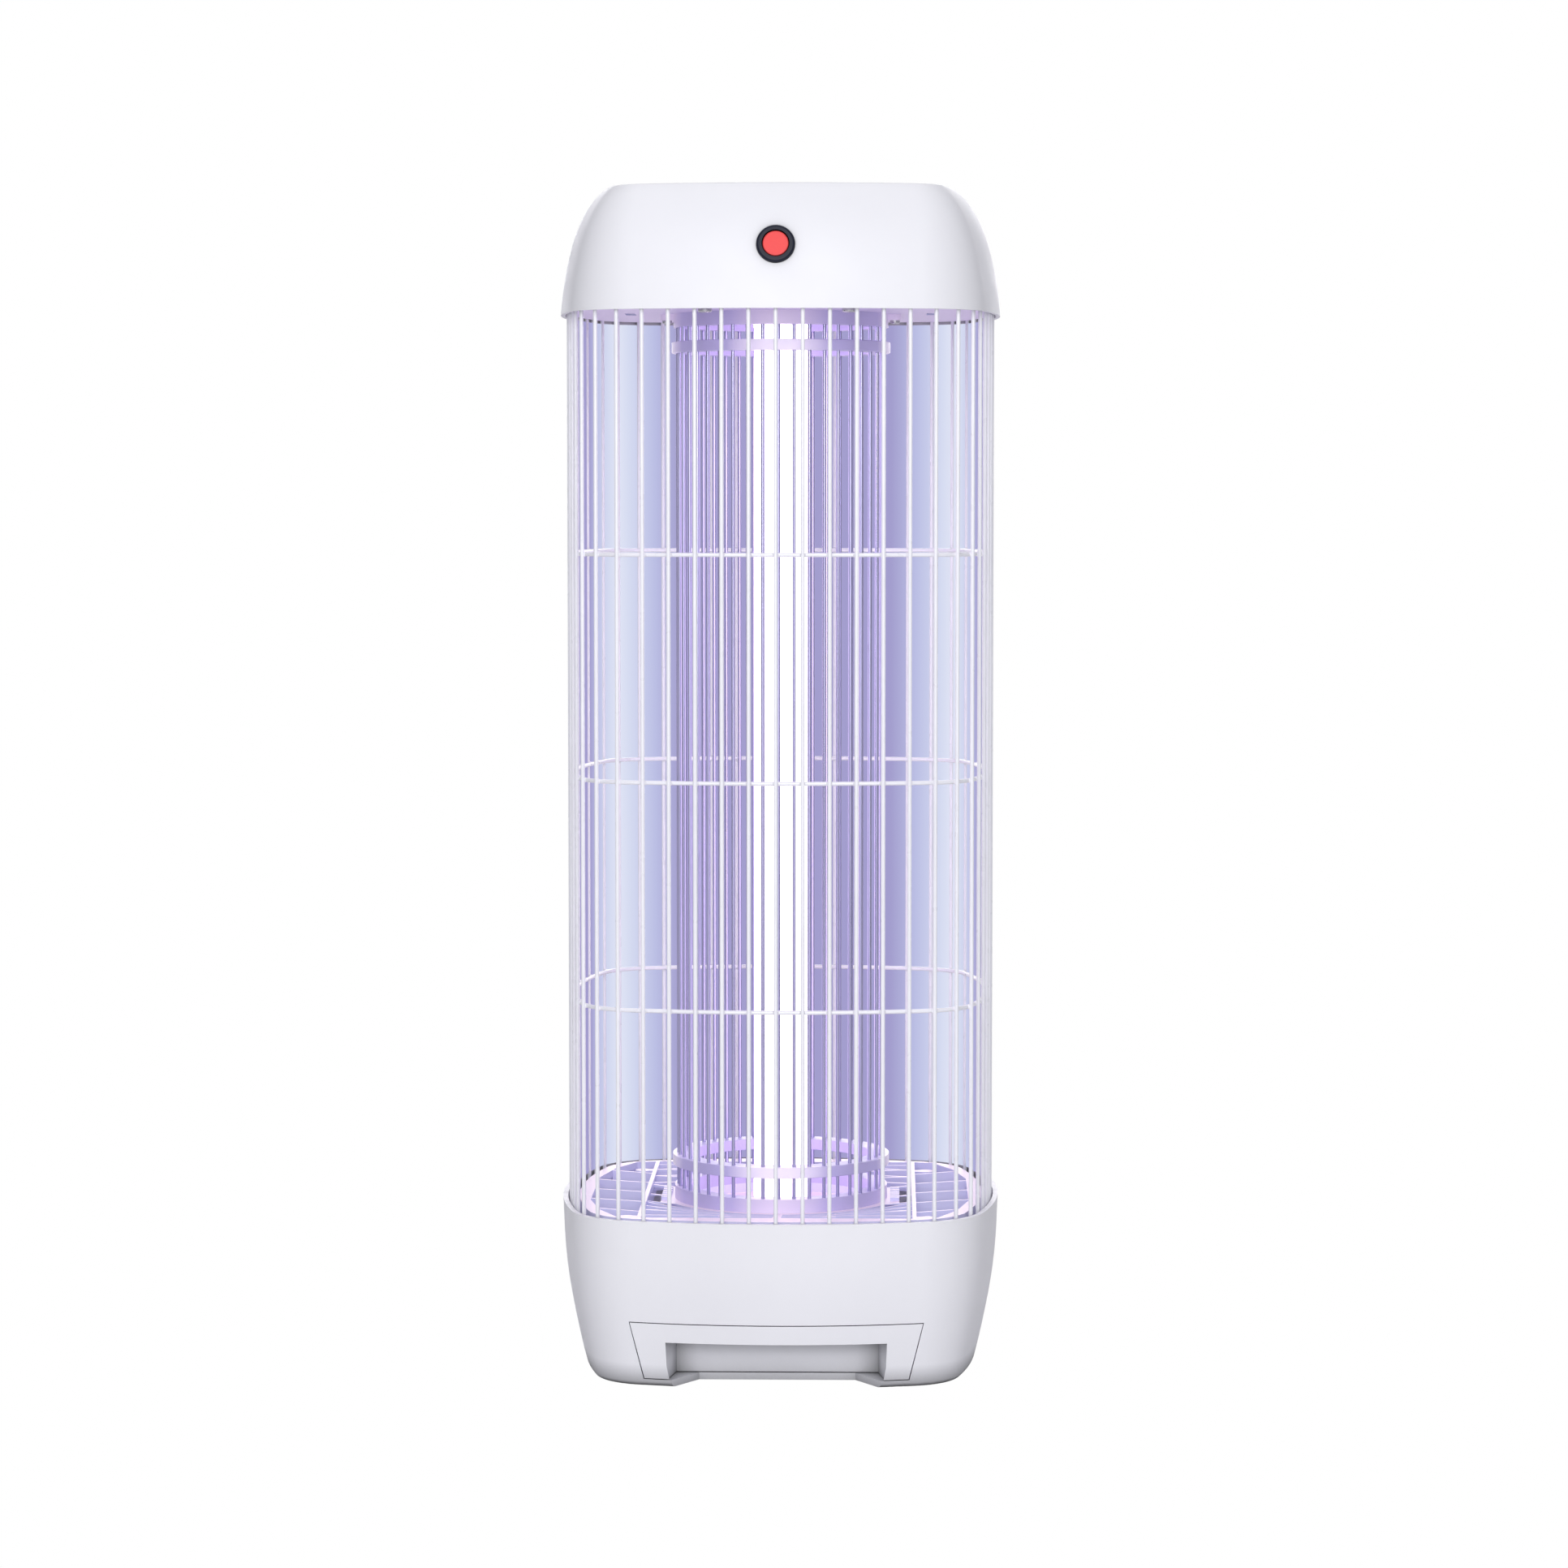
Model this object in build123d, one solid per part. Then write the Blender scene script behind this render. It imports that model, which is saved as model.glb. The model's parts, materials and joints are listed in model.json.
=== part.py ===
from build123d import *
import math
import os

# Electric insect killer: a moulded base with an insect drawer, a wire guard cage, a ring of
# high-voltage rods around a straight ultraviolet lamp, and a moulded cap that holds the switch
# and the electronics. Millimetres. +Z is up, the front faces -Y, and the origin is the centre
# of the underside.

# ---------------------------------------------------------------- plan outline
# Every level of the body is the same rounded square: four gently bulging sides joined by
# tangent corner arcs. Only its half width changes with height.
CORNER_CENTRE = 60.0          # X and Y of each corner arc's centre
SIDE_ARC_OFFSET = 176.5       # how far behind the centre each side arc is centred
CORNER_SPAN = math.hypot(CORNER_CENTRE, CORNER_CENTRE + SIDE_ARC_OFFSET)

# ---------------------------------------------------------------- heights
BASE_HEIGHT = 80.5
CAP_RIM_Z = 509.4
CAP_HEIGHT = 59.4
FLOOR = 3.4                   # thickness of the base's floor

# (height, half width) along the outside of each moulding
BASE_PROFILE = [(0.0, 95.4), (12.0, 98.4), (26.0, 101.4), (42.0, 104.2), (60.0, 106.1), (80.5, 107.0)]
CAP_PROFILE = [(0.0, 106.8), (12.0, 105.6), (24.0, 103.5), (36.0, 100.4), (46.0, 96.4), (53.0, 92.2),
               (57.0, 88.8), (59.4, 86.0)]
BASE_WALL = 2.4
CAP_WALL = 2.0
BASE_EDGE_RADIUS = 2.5        # rounding under the base
CAP_EDGE_RADIUS = 2.5         # rounding of the cap's top edge

# ---------------------------------------------------------------- guard cage
GUARD_WIRES = 56
GUARD_WIRE_RADIUS = 1.0
GUARD_HALF = 103.0            # half width of the upright wires' centre line
GUARD_BOTTOM_Z = 70.0
GUARD_TOP_Z = 514.9
HOOP_INSET = 1.9              # hoops run just inside the uprights and are welded to them
HOOP_HEIGHTS = {
    "guard_hoop_base": 71.4,
    "guard_hoop_lower": 180.1,
    "guard_hoop_middle": 287.9,
    "guard_hoop_upper": 394.9,
    "guard_hoop_cap": 514.7,
}

# ---------------------------------------------------------------- high-voltage grid
GRID_RODS = 42
GRID_RADIUS = 50.4
ROD_RADIUS = 0.9
ROD_CLEARANCE = 0.06
RING_INNER, RING_OUTER, RING_HEIGHT = 43.4, 53.4, 5.3
RING_HEIGHTS = {"grid_ring_lower": 93.9, "grid_ring_upper": 491.9}
COLLAR_INNER, COLLAR_OUTER = 44.0, 52.4
LOWER_COLLAR_Z = (77.0, 83.6)
UPPER_COLLAR_Z = (504.3, 510.9)
BUS_INNER, BUS_OUTER, BUS_THICKNESS = 49.4, 51.4, 1.5
BUS_GROOVE_DEPTH = 2.0
BLIND_OFFSET = 1.7            # rods of the other polarity stop this far short of a bus bar
TAP_ROD_TOP_Z = 519.0         # one return rod runs on into the cap to take its lead

# ---------------------------------------------------------------- lamp: T8, 15 W, G13 pins
LAMP_LENGTH = 437.4
LAMP_RADIUS = 13.0
LAMP_WALL = 0.8
LAMP_MIDDLE_Z = 295.0
END_CAP_HEIGHT = 9.0
END_CAP_RADIUS = 13.45
PIN_RADIUS, PIN_LENGTH, PIN_SPACING = 1.15, 7.1, 12.7
LAMP_BOTTOM_Z = LAMP_MIDDLE_Z - LAMP_LENGTH / 2
LAMP_TOP_Z = LAMP_MIDDLE_Z + LAMP_LENGTH / 2

# ---------------------------------------------------------------- cap floor plate
PLATE_Z = (510.9, 513.4)
PLATE_HALF = 103.0
HOLDER_HOLE_RADIUS = 15.3
CAP_BOSS = (34.0, 74.0)       # X and Y of the cap's screw bosses
VENT_X, VENT_WIDTH, VENT_LENGTH = 73.5, 5.0, 20.0
LIVE_LEAD_AT = (30.0, -40.5)  # where the live lead passes the plate, over the live bus bar
COLLAR_EAR_X = 55.6

# ---------------------------------------------------------------- lampholders, from the lamp's end faces
HOLDER_FLANGE = (5.8, 8.3)
HOLDER_LENGTH = 20.0
HOLDER_SCREW_Y = 18.5

# ---------------------------------------------------------------- electronics on the cap floor plate
BOARD_X = (30.0, 88.0)        # one board on each side of the lamp
BOARD_Y = (-28.0, 48.0)
BOARD_Z = (519.4, 521.0)
TERMINAL_BLOCK_Y = (57.0, 70.0)
TERMINAL_WAYS = (-15.0, -5.0, 5.0, 15.0)
LEAD_ENTRY_Z = 518.0
LEAD_CORRIDOR_X = 22.0        # switch leads pass between the lampholder and the boards
SWITCH_LEAD_Z = 525.0

# places on the boards
CHOKE_AT = (-62.0, 6.0)
CHOKE_WIDTH, CHOKE_DEPTH, CHOKE_HEIGHT, CHOKE_LEG, CHOKE_LIFT = 24.0, 20.0, 16.0, 6.0, 4.0
BALLAST_CAPACITOR_AT = (-44.0, 32.0)
TRANSISTORS_AT = [(-38.0, -20.0), (-38.0, -8.0)]
FUSE_AT = (-80.0, 20.0)
STAGE_X = [42.0, 52.5, 63.0, 73.5]  # the voltage multiplier's four stages
CAPACITOR_Y, DIODE_Y = 16.0, -4.0
RESISTORS_AT = [(50.0, -19.0), (66.0, -19.0)]
MAINS_PADS = [(-38.0, 40.0), (-54.0, 40.0)]
LAMP_PADS = [(-33.0, -2.0), (-33.0, 8.0)]
RETURN_PAD, LIVE_PAD = (41.0, 40.0), (41.0, -20.0)

# ---------------------------------------------------------------- grate
GRATE_HALF = 99.0
GRATE_THICKNESS = 3.5
GRATE_TOP_Z = BASE_HEIGHT
DIVIDER_X = 65.5
RIB = 2.0
LOUVRE_PITCH = 29.3
LOUVRE_DEPTH = 8.0
LOUVRE_DROP = 1.8             # louvre tops fall this much towards the lamp
SIDE_OPENING = [(66.5, 87.0), (76.0, 85.0), (86.0, 63.0), (92.0, 34.0)]
HUB_OUTER = 57.0
HUB_FLOOR_Z = (70.5, 72.5)
GRATE_BOSS = 72.0             # X and Y of the posts that hold the grate
POST_RADIUS, POST_TOP_Z = 5.0, 62.0
COUNTERBORE_RADIUS, COUNTERBORE_TOP_Z = 3.6, 58.5
SCREW_CLEARANCE = 0.2
EAR_X, EAR_Y = (54.0, 58.5), 26.0   # stepped blocks beside the hub
CLIP_WINDOW_Y = 24.5
ZIGZAG = [(64.5, 30.0), (27.0, 54.0), (64.5, 46.0), (24.0, 66.0), (64.5, 62.0), (22.0, 78.0), (64.5, 78.0)]
SLAT_HALF, SLAT_Y = 28.0, [62.0, 68.5, 75.0, 81.5]
DISH_RADII = (57.6, 87.0)     # between the dividers the grate falls towards the hub
DISH_DEPTH = 3.4

# ---------------------------------------------------------------- insect drawer
DRAWER_TOP_Z, DRAWER_BOTTOM_Z = 31.8, FLOOR
DRAWER_TOP_HALF, DRAWER_BOTTOM_HALF = 70.0, 63.2
DRAWER_GAP = 0.45
RECESS_TOP_Z = 22.2
RECESS_BACK_Y = -72.0
RECESS_TOP_HALF, RECESS_BOTTOM_HALF, RECESS_BACK_HALF = 54.2, 50.2, 48.3
NOTCH_FRONT_HALF, NOTCH_BACK_HALF, NOTCH_BACK_Y = 49.3, 37.4, -72.7
PAN_HALF, PAN_BACK_Y, PAN_TOP_Z, PAN_WALL = 60.0, 80.0, 30.0, 2.0
PAN_BOTTOM_Z = FLOOR + 0.4
DRAWER_SKIN = 3.0

# ---------------------------------------------------------------- push switch
SWITCH_Z = 539.1
SWITCH_TILT = 14.0            # the switch stands square to the sloping cap
BEZEL_RADIUS, BEZEL_PROUD, BEZEL_SUNK = 9.0, 1.8, 0.6
BARREL_RADIUS, BARREL_DEPTH = 7.8, 18.0
BUTTON_RADIUS, BUTTON_PROUD, BUTTON_DEPTH = 6.2, 1.5, 6.0
STEM_RADIUS = 2.6
SWITCH_SHOULDER = -14.0       # floor of the housing's bore
SWITCH_NUT_RADIUS, SWITCH_NUT_HEIGHT = 11.0, 3.0
SWITCH_SEAT_Z = -3.6          # flat seat for the nut, inside the cap
SWITCH_BODY_LENGTH, TERMINAL_LENGTH, TERMINAL_X = 8.0, 7.0, 4.0
SPRING_RADIUS, SPRING_WIRE, SPRING_TURNS = 4.4, 0.35, 4

# ---------------------------------------------------------------- cable gland in the back of the cap
GLAND_Z = 528.0
GLAND_BORE_RADIUS = 3.4
GLAND_BARREL_RADIUS, GLAND_FLANGE_RADIUS = 6.0, 8.5
GLAND_LENGTH = 13.0
GLAND_FLANGE = 2.3
GLAND_FACE_Y = 104.6          # the flat seat behind the gland's flange
GLAND_SEAT_RADIUS = 10.5
GLAND_NUT_Y = (96.6, 99.6)

# ---------------------------------------------------------------- screws
# head radius, head height, shank radius, length
PLATE_SCREW = (3.4, 2.2, 1.7, 12.0)
GRATE_SCREW = (3.2, 2.2, 1.7, 13.0)
HOLDER_SCREW = (2.6, 1.8, 1.3, 7.0)
BOARD_SCREW = (2.6, 1.8, 1.3, 6.0)
COLLAR_SCREW = (2.4, 1.6, 1.3, 7.0)
PILOT_CLEARANCE = 0.05
LEAD_RADIUS = 0.8


# ================================================================ shared shapes
def rounded_square(half, z=0.0):
    """The body's plan at one level, as a face."""
    corner_radius = half + SIDE_ARC_OFFSET - CORNER_SPAN
    reach_x = CORNER_CENTRE + corner_radius * CORNER_CENTRE / CORNER_SPAN
    reach_y = CORNER_CENTRE + corner_radius * (CORNER_CENTRE + SIDE_ARC_OFFSET) / CORNER_SPAN
    diagonal = CORNER_CENTRE + corner_radius * math.sqrt(0.5)
    side = ThreePointArc((-reach_x, -reach_y), (0, -half), (reach_x, -reach_y))
    corner = ThreePointArc((reach_x, -reach_y), (diagonal, -diagonal), (reach_y, -reach_x))
    edges = []
    for quarter in range(4):
        turn = Rot(0, 0, 90 * quarter)
        edges.append(turn * side)
        edges.append(turn * corner)
    return Pos(0, 0, z) * make_face(Wire(edges))


def profile_half(profile, height):
    """Half width at a height, from the straight run between two profile points."""
    for (low, low_half), (high, high_half) in zip(profile, profile[1:]):
        if height <= high:
            return low_half + (high_half - low_half) * (height - low) / (high - low)
    return profile[-1][1]


def moulding(profile, inset=0.0, lift=0.0):
    """A solid whose plan follows a profile, drawn in by inset and raised by lift."""
    return loft([rounded_square(half - inset, z + lift) for z, half in profile])


def slab(half, low, high):
    return extrude(rounded_square(half, low), amount=high - low)


def tube(outer, inner, low, high, x=0.0, y=0.0):
    ring = Circle(outer) - Circle(inner)
    return Pos(x, y, low) * extrude(ring, amount=high - low)


def rod(radius, low, high, x=0.0, y=0.0):
    return Pos(x, y, low) * extrude(Circle(radius), amount=high - low)


def block(x_range, y_range, z_range):
    size = [high - low for low, high in (x_range, y_range, z_range)]
    middle = [(high + low) / 2 for low, high in (x_range, y_range, z_range)]
    return Pos(*middle) * Box(*size)


def prism(points, low, high):
    """A polygon in plan, raised from low to high."""
    return Pos(0, 0, low) * extrude(make_face(Polyline(*points, close=True)), amount=high - low)


def strip(start, end, width, low, high):
    """A straight rib in plan from start to end."""
    run_x, run_y = end[0] - start[0], end[1] - start[1]
    length = math.hypot(run_x, run_y)
    angle = math.degrees(math.atan2(run_y, run_x))
    place = Pos((start[0] + end[0]) / 2, (start[1] + end[1]) / 2, (low + high) / 2) * Rot(0, 0, angle)
    return place * Box(length, width, high - low)


def screw(size):
    """A cross-head screw. Its head's underside is at the origin and its shank points to -Z."""
    head_radius, head_height, shank_radius, length = size
    head = rod(head_radius, 0, head_height)
    head = fillet(head.edges().group_by(Axis.Z)[-1], head_height * 0.45)
    slots = Box(head_radius * 1.2, 0.7, head_height) + Box(0.7, head_radius * 1.2, head_height)
    tip = Pos(0, 0, -length) * Cone(0.3, shank_radius, 1.5, align=(Align.CENTER, Align.CENTER, Align.MIN))
    shank = rod(shank_radius, 1.5 - length, 0)
    return head + shank + tip - Pos(0, 0, head_height) * slots


def corners(x, y):
    return [(sx * x, sy * y) for sx in (-1, 1) for sy in (-1, 1)]


def group(solids):
    """Several separate solids kept as one node."""
    return Compound(children=[part.solid() for part in solids])


def hoop(half, z, radius):
    path = rounded_square(half, z).face().outer_wire()
    section = Plane(origin=path @ 0, z_dir=path % 0) * Circle(radius)
    return sweep(section, path=path)


def lead(points, corner_radius=6.0, radius=LEAD_RADIUS):
    """An insulated lead along straight runs with rounded corners."""
    path = FilletPolyline(*points, radius=corner_radius)
    section = Plane(origin=path @ 0, z_dir=path % 0) * Circle(radius)
    return sweep(section, path=path)


def guard_points():
    """Plan positions of the upright wires, evenly spaced, one of them at the front centre."""
    path = rounded_square(GUARD_HALF).face().outer_wire()
    start = path.param_at_point(Vector(0, -GUARD_HALF, 0))
    return [path @ ((start + i / GUARD_WIRES) % 1.0) for i in range(GUARD_WIRES)]


def rod_points(first, step):
    """Plan positions of the grid rods, counted round from the front."""
    points = []
    for i in range(first, GRID_RODS, step):
        angle = math.radians(-90 + 360 * i / GRID_RODS)
        points.append((GRID_RADIUS * math.cos(angle), GRID_RADIUS * math.sin(angle)))
    return points


def cap_place():
    """The switch's seat: on the cap's front face, looking out along its own Z axis."""
    half = profile_half(CAP_PROFILE, SWITCH_Z - CAP_RIM_Z)
    tilt = math.radians(SWITCH_TILT)
    out = (0, -math.cos(tilt), math.sin(tilt))
    return Plane(origin=(0, -half, SWITCH_Z), x_dir=(1, 0, 0), z_dir=out)


def gland_place():
    """The cable gland's axis, its Z pointing out of the back of the cap."""
    return Plane(origin=(0, 0, GLAND_Z), x_dir=(1, 0, 0), z_dir=(0, 1, 0))


def drawer_prism(gap=0.0):
    """The drawer front's trapezium, run through the front wall."""
    low, high = DRAWER_BOTTOM_Z + gap, DRAWER_TOP_Z - gap
    outline = [(-DRAWER_BOTTOM_HALF + gap, low), (DRAWER_BOTTOM_HALF - gap, low),
               (DRAWER_TOP_HALF - gap, high), (-DRAWER_TOP_HALF + gap, high)]
    face = make_face(Polyline(*[(x, -120.0, z) for x, z in outline], close=True))
    return extrude(face, amount=40.0, dir=(0, 1, 0))


# ================================================================ base
def base_outer():
    outer = moulding(BASE_PROFILE)
    underside = outer.edges().group_by(Axis.Z)[0]
    return fillet(underside, BASE_EDGE_RADIUS)


def base_shell():
    cavity = moulding(BASE_PROFILE, BASE_WALL) & block((-120, 120), (-120, 120), (FLOOR, 120))
    shell = base_outer() - cavity
    shell += slab(GUARD_HALF + 2, GUARD_BOTTOM_Z - 2.5, GUARD_BOTTOM_Z) - slab(GRATE_HALF + 0.5, 0, 100)
    shell -= drawer_prism()
    notch = [(-NOTCH_FRONT_HALF, -91.0), (-NOTCH_FRONT_HALF - 6.0, -100.0), (NOTCH_FRONT_HALF + 6.0, -100.0),
             (NOTCH_FRONT_HALF, -91.0), (NOTCH_BACK_HALF, NOTCH_BACK_Y), (-NOTCH_BACK_HALF, NOTCH_BACK_Y)]
    shell -= prism(notch, -1, FLOOR)
    for side in (-1, 1):
        rail_x = sorted((side * (PAN_HALF + 0.6), side * (PAN_HALF + 2.6)))
        shell += block(rail_x, (-70, 80), (FLOOR - 0.5, 12))
    for x, y in corners(GRATE_BOSS, GRATE_BOSS):
        shell += rod(POST_RADIUS, FLOOR - 0.5, POST_TOP_Z, x, y)
        shell -= rod(COUNTERBORE_RADIUS, -1, COUNTERBORE_TOP_Z, x, y)
        shell -= rod(GRATE_SCREW[2] + SCREW_CLEARANCE, 50, POST_TOP_Z + 1, x, y)
    return shell


def grate_openings():
    """The grate's holes in plan, before any ribs are put back."""
    right = SIDE_OPENING + [(x, -y) for x, y in reversed(SIDE_OPENING)]
    left = [(-x, y) for x, y in reversed(right)]
    inner_half = DIVIDER_X - RIB / 2
    middle = Rectangle(2 * inner_half, 2 * SIDE_OPENING[0][1])
    middle -= Circle(HUB_OUTER)
    middle -= Rectangle(2 * DIVIDER_X, 2 * EAR_Y)
    windows = Rectangle(2 * inner_half, 2 * CLIP_WINDOW_Y)
    windows -= Rectangle(2 * EAR_X[1], 2 * EAR_Y)
    windows -= Rectangle(2 * DIVIDER_X, RIB)
    return [make_face(Polyline(*right, close=True)), make_face(Polyline(*left, close=True)), middle, windows]


def grate_ribs():
    """Louvres at the sides, and zigzag ribs and straight slats in front of and behind the hub."""
    low, top = GRATE_TOP_Z - LOUVRE_DEPTH, GRATE_TOP_Z
    ribs = []
    for side in (-1, 1):
        ribs.append(strip((side * DIVIDER_X, -88), (side * DIVIDER_X, 88), RIB, low - 2, top))
        for i in (-2, -1, 0, 1, 2):
            y = i * LOUVRE_PITCH
            reach = 92.5 if abs(i) < 2 else 87.0
            edge = [(side * DIVIDER_X, -120, low), (side * reach, -120, low),
                    (side * reach, -120, top - 0.1), (side * DIVIDER_X, -120, top - LOUVRE_DROP)]
            blade = extrude(make_face(Polyline(*edge, close=True)), amount=RIB * 0.8, dir=(0, 1, 0))
            ribs.append(Pos(0, 120 + y - RIB * 0.4, 0) * blade)
        for end in (-1, 1):
            for (x1, y1), (x2, y2) in zip(ZIGZAG, ZIGZAG[1:]):
                ribs.append(strip((side * x1, end * y1), (side * x2, end * y2), 1.4, low + 2, top - 0.2))
    for end in (-1, 1):
        ribs.append(strip((0, end * 56.5), (0, end * 88.5), 4.0, low + 2, top))
        for y in SLAT_Y:
            ribs.append(strip((-SLAT_HALF, end * y), (SLAT_HALF, end * y), 1.6, low + 2, top - 0.3))
    return ribs


def grate_dish():
    """What is taken off the top of the grate's middle, so that insects slide towards the hub."""
    inner, outer = DISH_RADII
    cone = Pos(0, 0, GRATE_TOP_Z - DISH_DEPTH) * Cone(
        inner, outer, DISH_DEPTH, align=(Align.CENTER, Align.CENTER, Align.MIN))
    cone += rod(outer, GRATE_TOP_Z, GRATE_TOP_Z + 2)
    half = DIVIDER_X - RIB / 2
    return cone & block((-half, half), (-outer, outer), (GRATE_TOP_Z - DISH_DEPTH, GRATE_TOP_Z + 2))


def base_grate():
    plan = rounded_square(GRATE_HALF)
    for opening in grate_openings():
        plan -= opening
    deck = Pos(0, 0, GRATE_TOP_Z - GRATE_THICKNESS) * extrude(plan, amount=GRATE_THICKNESS)
    skirt = slab(GRATE_HALF, GUARD_BOTTOM_Z, GRATE_TOP_Z) - slab(GRATE_HALF - RIB, 0, 100)
    grate = deck + skirt
    for rib in grate_ribs():
        grate += rib
    grate += tube(HUB_OUTER, COLLAR_OUTER + 0.4, HUB_FLOOR_Z[0], GRATE_TOP_Z)
    grate -= rod(COLLAR_OUTER + 0.4, HUB_FLOOR_Z[1], GRATE_TOP_Z + 1)
    grate += rod(HUB_OUTER, HUB_FLOOR_Z[0], HUB_FLOOR_Z[1])
    grate += tube(COLLAR_OUTER + 0.8, COLLAR_INNER, HUB_FLOOR_Z[0], LOWER_COLLAR_Z[0])
    grate -= rod(HOLDER_HOLE_RADIUS, 0, 100)
    for i in range(6):
        angle = 30 + 60 * i
        slot = Pos(0, 0, HUB_FLOOR_Z[0] - 1) * extrude(Pos(31, 0, 0) * SlotOverall(20, 7), amount=4)
        grate -= Rot(0, 0, angle) * slot
    grate -= grate_dish()
    for side in (-1, 1):
        grate += rod(3.4, HUB_FLOOR_Z[0], 76.5, 0, side * HOLDER_SCREW_Y)
        grate -= rod(HOLDER_SCREW[2] + PILOT_CLEARANCE, 60, 75.5, 0, side * HOLDER_SCREW_Y)
        ear_x = sorted((side * EAR_X[0], side * EAR_X[1]))
        for y in (-15.0, -9.0, -3.0, 3.0, 9.0, 15.0):
            grate += block(ear_x, (y - 1.4, y + 1.4), (GRATE_TOP_Z - DISH_DEPTH - 1, GRATE_TOP_Z - 1.4))
    for x, y in corners(GRATE_BOSS, GRATE_BOSS):
        grate += rod(POST_RADIUS - 0.8, POST_TOP_Z, GRATE_TOP_Z - 2, x, y)
        divider_end = (math.copysign(DIVIDER_X, x), y)
        grate += strip(divider_end, (x, y), 6.0, GRATE_TOP_Z - LOUVRE_DEPTH, GRATE_TOP_Z - 2)
        grate -= rod(GRATE_SCREW[2] + PILOT_CLEARANCE, 60, 74.0, x, y)
    return grate & block((-120, 120), (-120, 120), (60, GRATE_TOP_Z))


def grate_screws():
    screws = []
    for x, y in corners(GRATE_BOSS, GRATE_BOSS):
        screws.append(Pos(x, y, COUNTERBORE_TOP_Z) * Rot(180, 0, 0) * screw(GRATE_SCREW))
    return group(screws)


def insect_drawer():
    skin = (base_outer() & drawer_prism(DRAWER_GAP)) - moulding(BASE_PROFILE, DRAWER_SKIN)
    inside = moulding(BASE_PROFILE, DRAWER_SKIN)
    pan = block((-PAN_HALF, PAN_HALF), (-110, PAN_BACK_Y), (PAN_BOTTOM_Z, PAN_TOP_Z))
    pan &= moulding(BASE_PROFILE, DRAWER_SKIN / 2)
    hollow_half = PAN_HALF - PAN_WALL
    hollow_y = (RECESS_BACK_Y + PAN_WALL, PAN_BACK_Y - PAN_WALL)
    hollow = block((-hollow_half, hollow_half), hollow_y, (PAN_BOTTOM_Z + PAN_WALL, 60))
    shelf_y = (-110, RECESS_BACK_Y + PAN_WALL + 1)
    shelf = inside & block((-hollow_half, hollow_half), shelf_y, (RECESS_TOP_Z + PAN_WALL, 60))
    outline = [(-RECESS_TOP_HALF, -105), (RECESS_TOP_HALF, -105), (RECESS_BACK_HALF, RECESS_BACK_Y),
               (-RECESS_BACK_HALF, RECESS_BACK_Y)]
    recess = prism(outline, 0, RECESS_TOP_Z)
    mouth_points = [(-RECESS_TOP_HALF, -105, RECESS_TOP_Z), (-RECESS_BOTTOM_HALF, -105, 0),
                    (RECESS_BOTTOM_HALF, -105, 0), (RECESS_TOP_HALF, -105, RECESS_TOP_Z)]
    mouth = extrude(make_face(Polyline(*mouth_points, close=True)), amount=35, dir=(0, 1, 0))
    return skin + pan - hollow - shelf - (recess & mouth)


# ================================================================ guard cage
def guard_wires():
    wires = []
    for point in guard_points():
        wires.append(rod(GUARD_WIRE_RADIUS, GUARD_BOTTOM_Z, GUARD_TOP_Z, point.X, point.Y))
    return group(wires)


# ================================================================ high-voltage grid
def grid_ring(z):
    ring = tube(RING_OUTER, RING_INNER, z, z + RING_HEIGHT)
    ring = fillet(ring.edges(), 0.4)
    holes = [rod(ROD_RADIUS + ROD_CLEARANCE, z - 1, z + RING_HEIGHT + 1, x, y) for x, y in rod_points(0, 1)]
    return ring - holes


def grid_collar(low, high, groove_low, groove_high, joined, apart):
    """An insulating collar. Joined rods reach its bus-bar groove; the apart rods stop short of it."""
    collar = tube(COLLAR_OUTER, COLLAR_INNER, low, high)
    collar -= tube(BUS_OUTER + 0.2, BUS_INNER - 0.2, groove_low, groove_high)
    for points, (hole_low, hole_high) in (joined, apart):
        collar -= [rod(ROD_RADIUS + ROD_CLEARANCE, hole_low, hole_high, x, y) for x, y in points]
    return collar


def lower_collar():
    low, high = LOWER_COLLAR_Z
    groove_top = low + BUS_GROOVE_DEPTH
    joined = (rod_points(1, 2), (low, high + 1))
    apart = (rod_points(0, 2), (groove_top + BLIND_OFFSET, high + 1))
    return grid_collar(low, high, low - 1, groove_top, joined, apart)


def upper_collar():
    low, high = UPPER_COLLAR_Z
    groove_bottom = high - BUS_GROOVE_DEPTH
    joined = (rod_points(0, 2), (low - 1, high))
    apart = (rod_points(1, 2), (low - 1, groove_bottom - BLIND_OFFSET))
    collar = grid_collar(low, high, groove_bottom, high + 1, joined, apart)
    collar -= rod(ROD_RADIUS + ROD_CLEARANCE, low - 1, high + 1, 0, GRID_RADIUS)
    for side in (-1, 1):
        ear = rod(3.2, high - 3, high, side * COLLAR_EAR_X) + block(
            sorted((side * 51.6, side * COLLAR_EAR_X)), (-3.2, 3.2), (high - 3, high))
        ear -= rod(51.7, low - 1, high + 1)
        collar += ear
        collar -= rod(COLLAR_SCREW[2] + 0.2, low, high + 1, side * COLLAR_EAR_X)
    return collar


def grid_rods_live():
    low = LOWER_COLLAR_Z[0] + BUS_GROOVE_DEPTH + BLIND_OFFSET
    high = UPPER_COLLAR_Z[1] - BUS_GROOVE_DEPTH
    return group([rod(ROD_RADIUS, low, high, x, y) for x, y in rod_points(0, 2)])


def grid_rods_return():
    low = LOWER_COLLAR_Z[0] + BUS_GROOVE_DEPTH
    high = UPPER_COLLAR_Z[1] - BUS_GROOVE_DEPTH - BLIND_OFFSET
    rods = []
    for x, y in rod_points(1, 2):
        is_tap = y > GRID_RADIUS - 0.01
        rods.append(rod(ROD_RADIUS, low, TAP_ROD_TOP_Z if is_tap else high, x, y))
    return group(rods)


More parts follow.
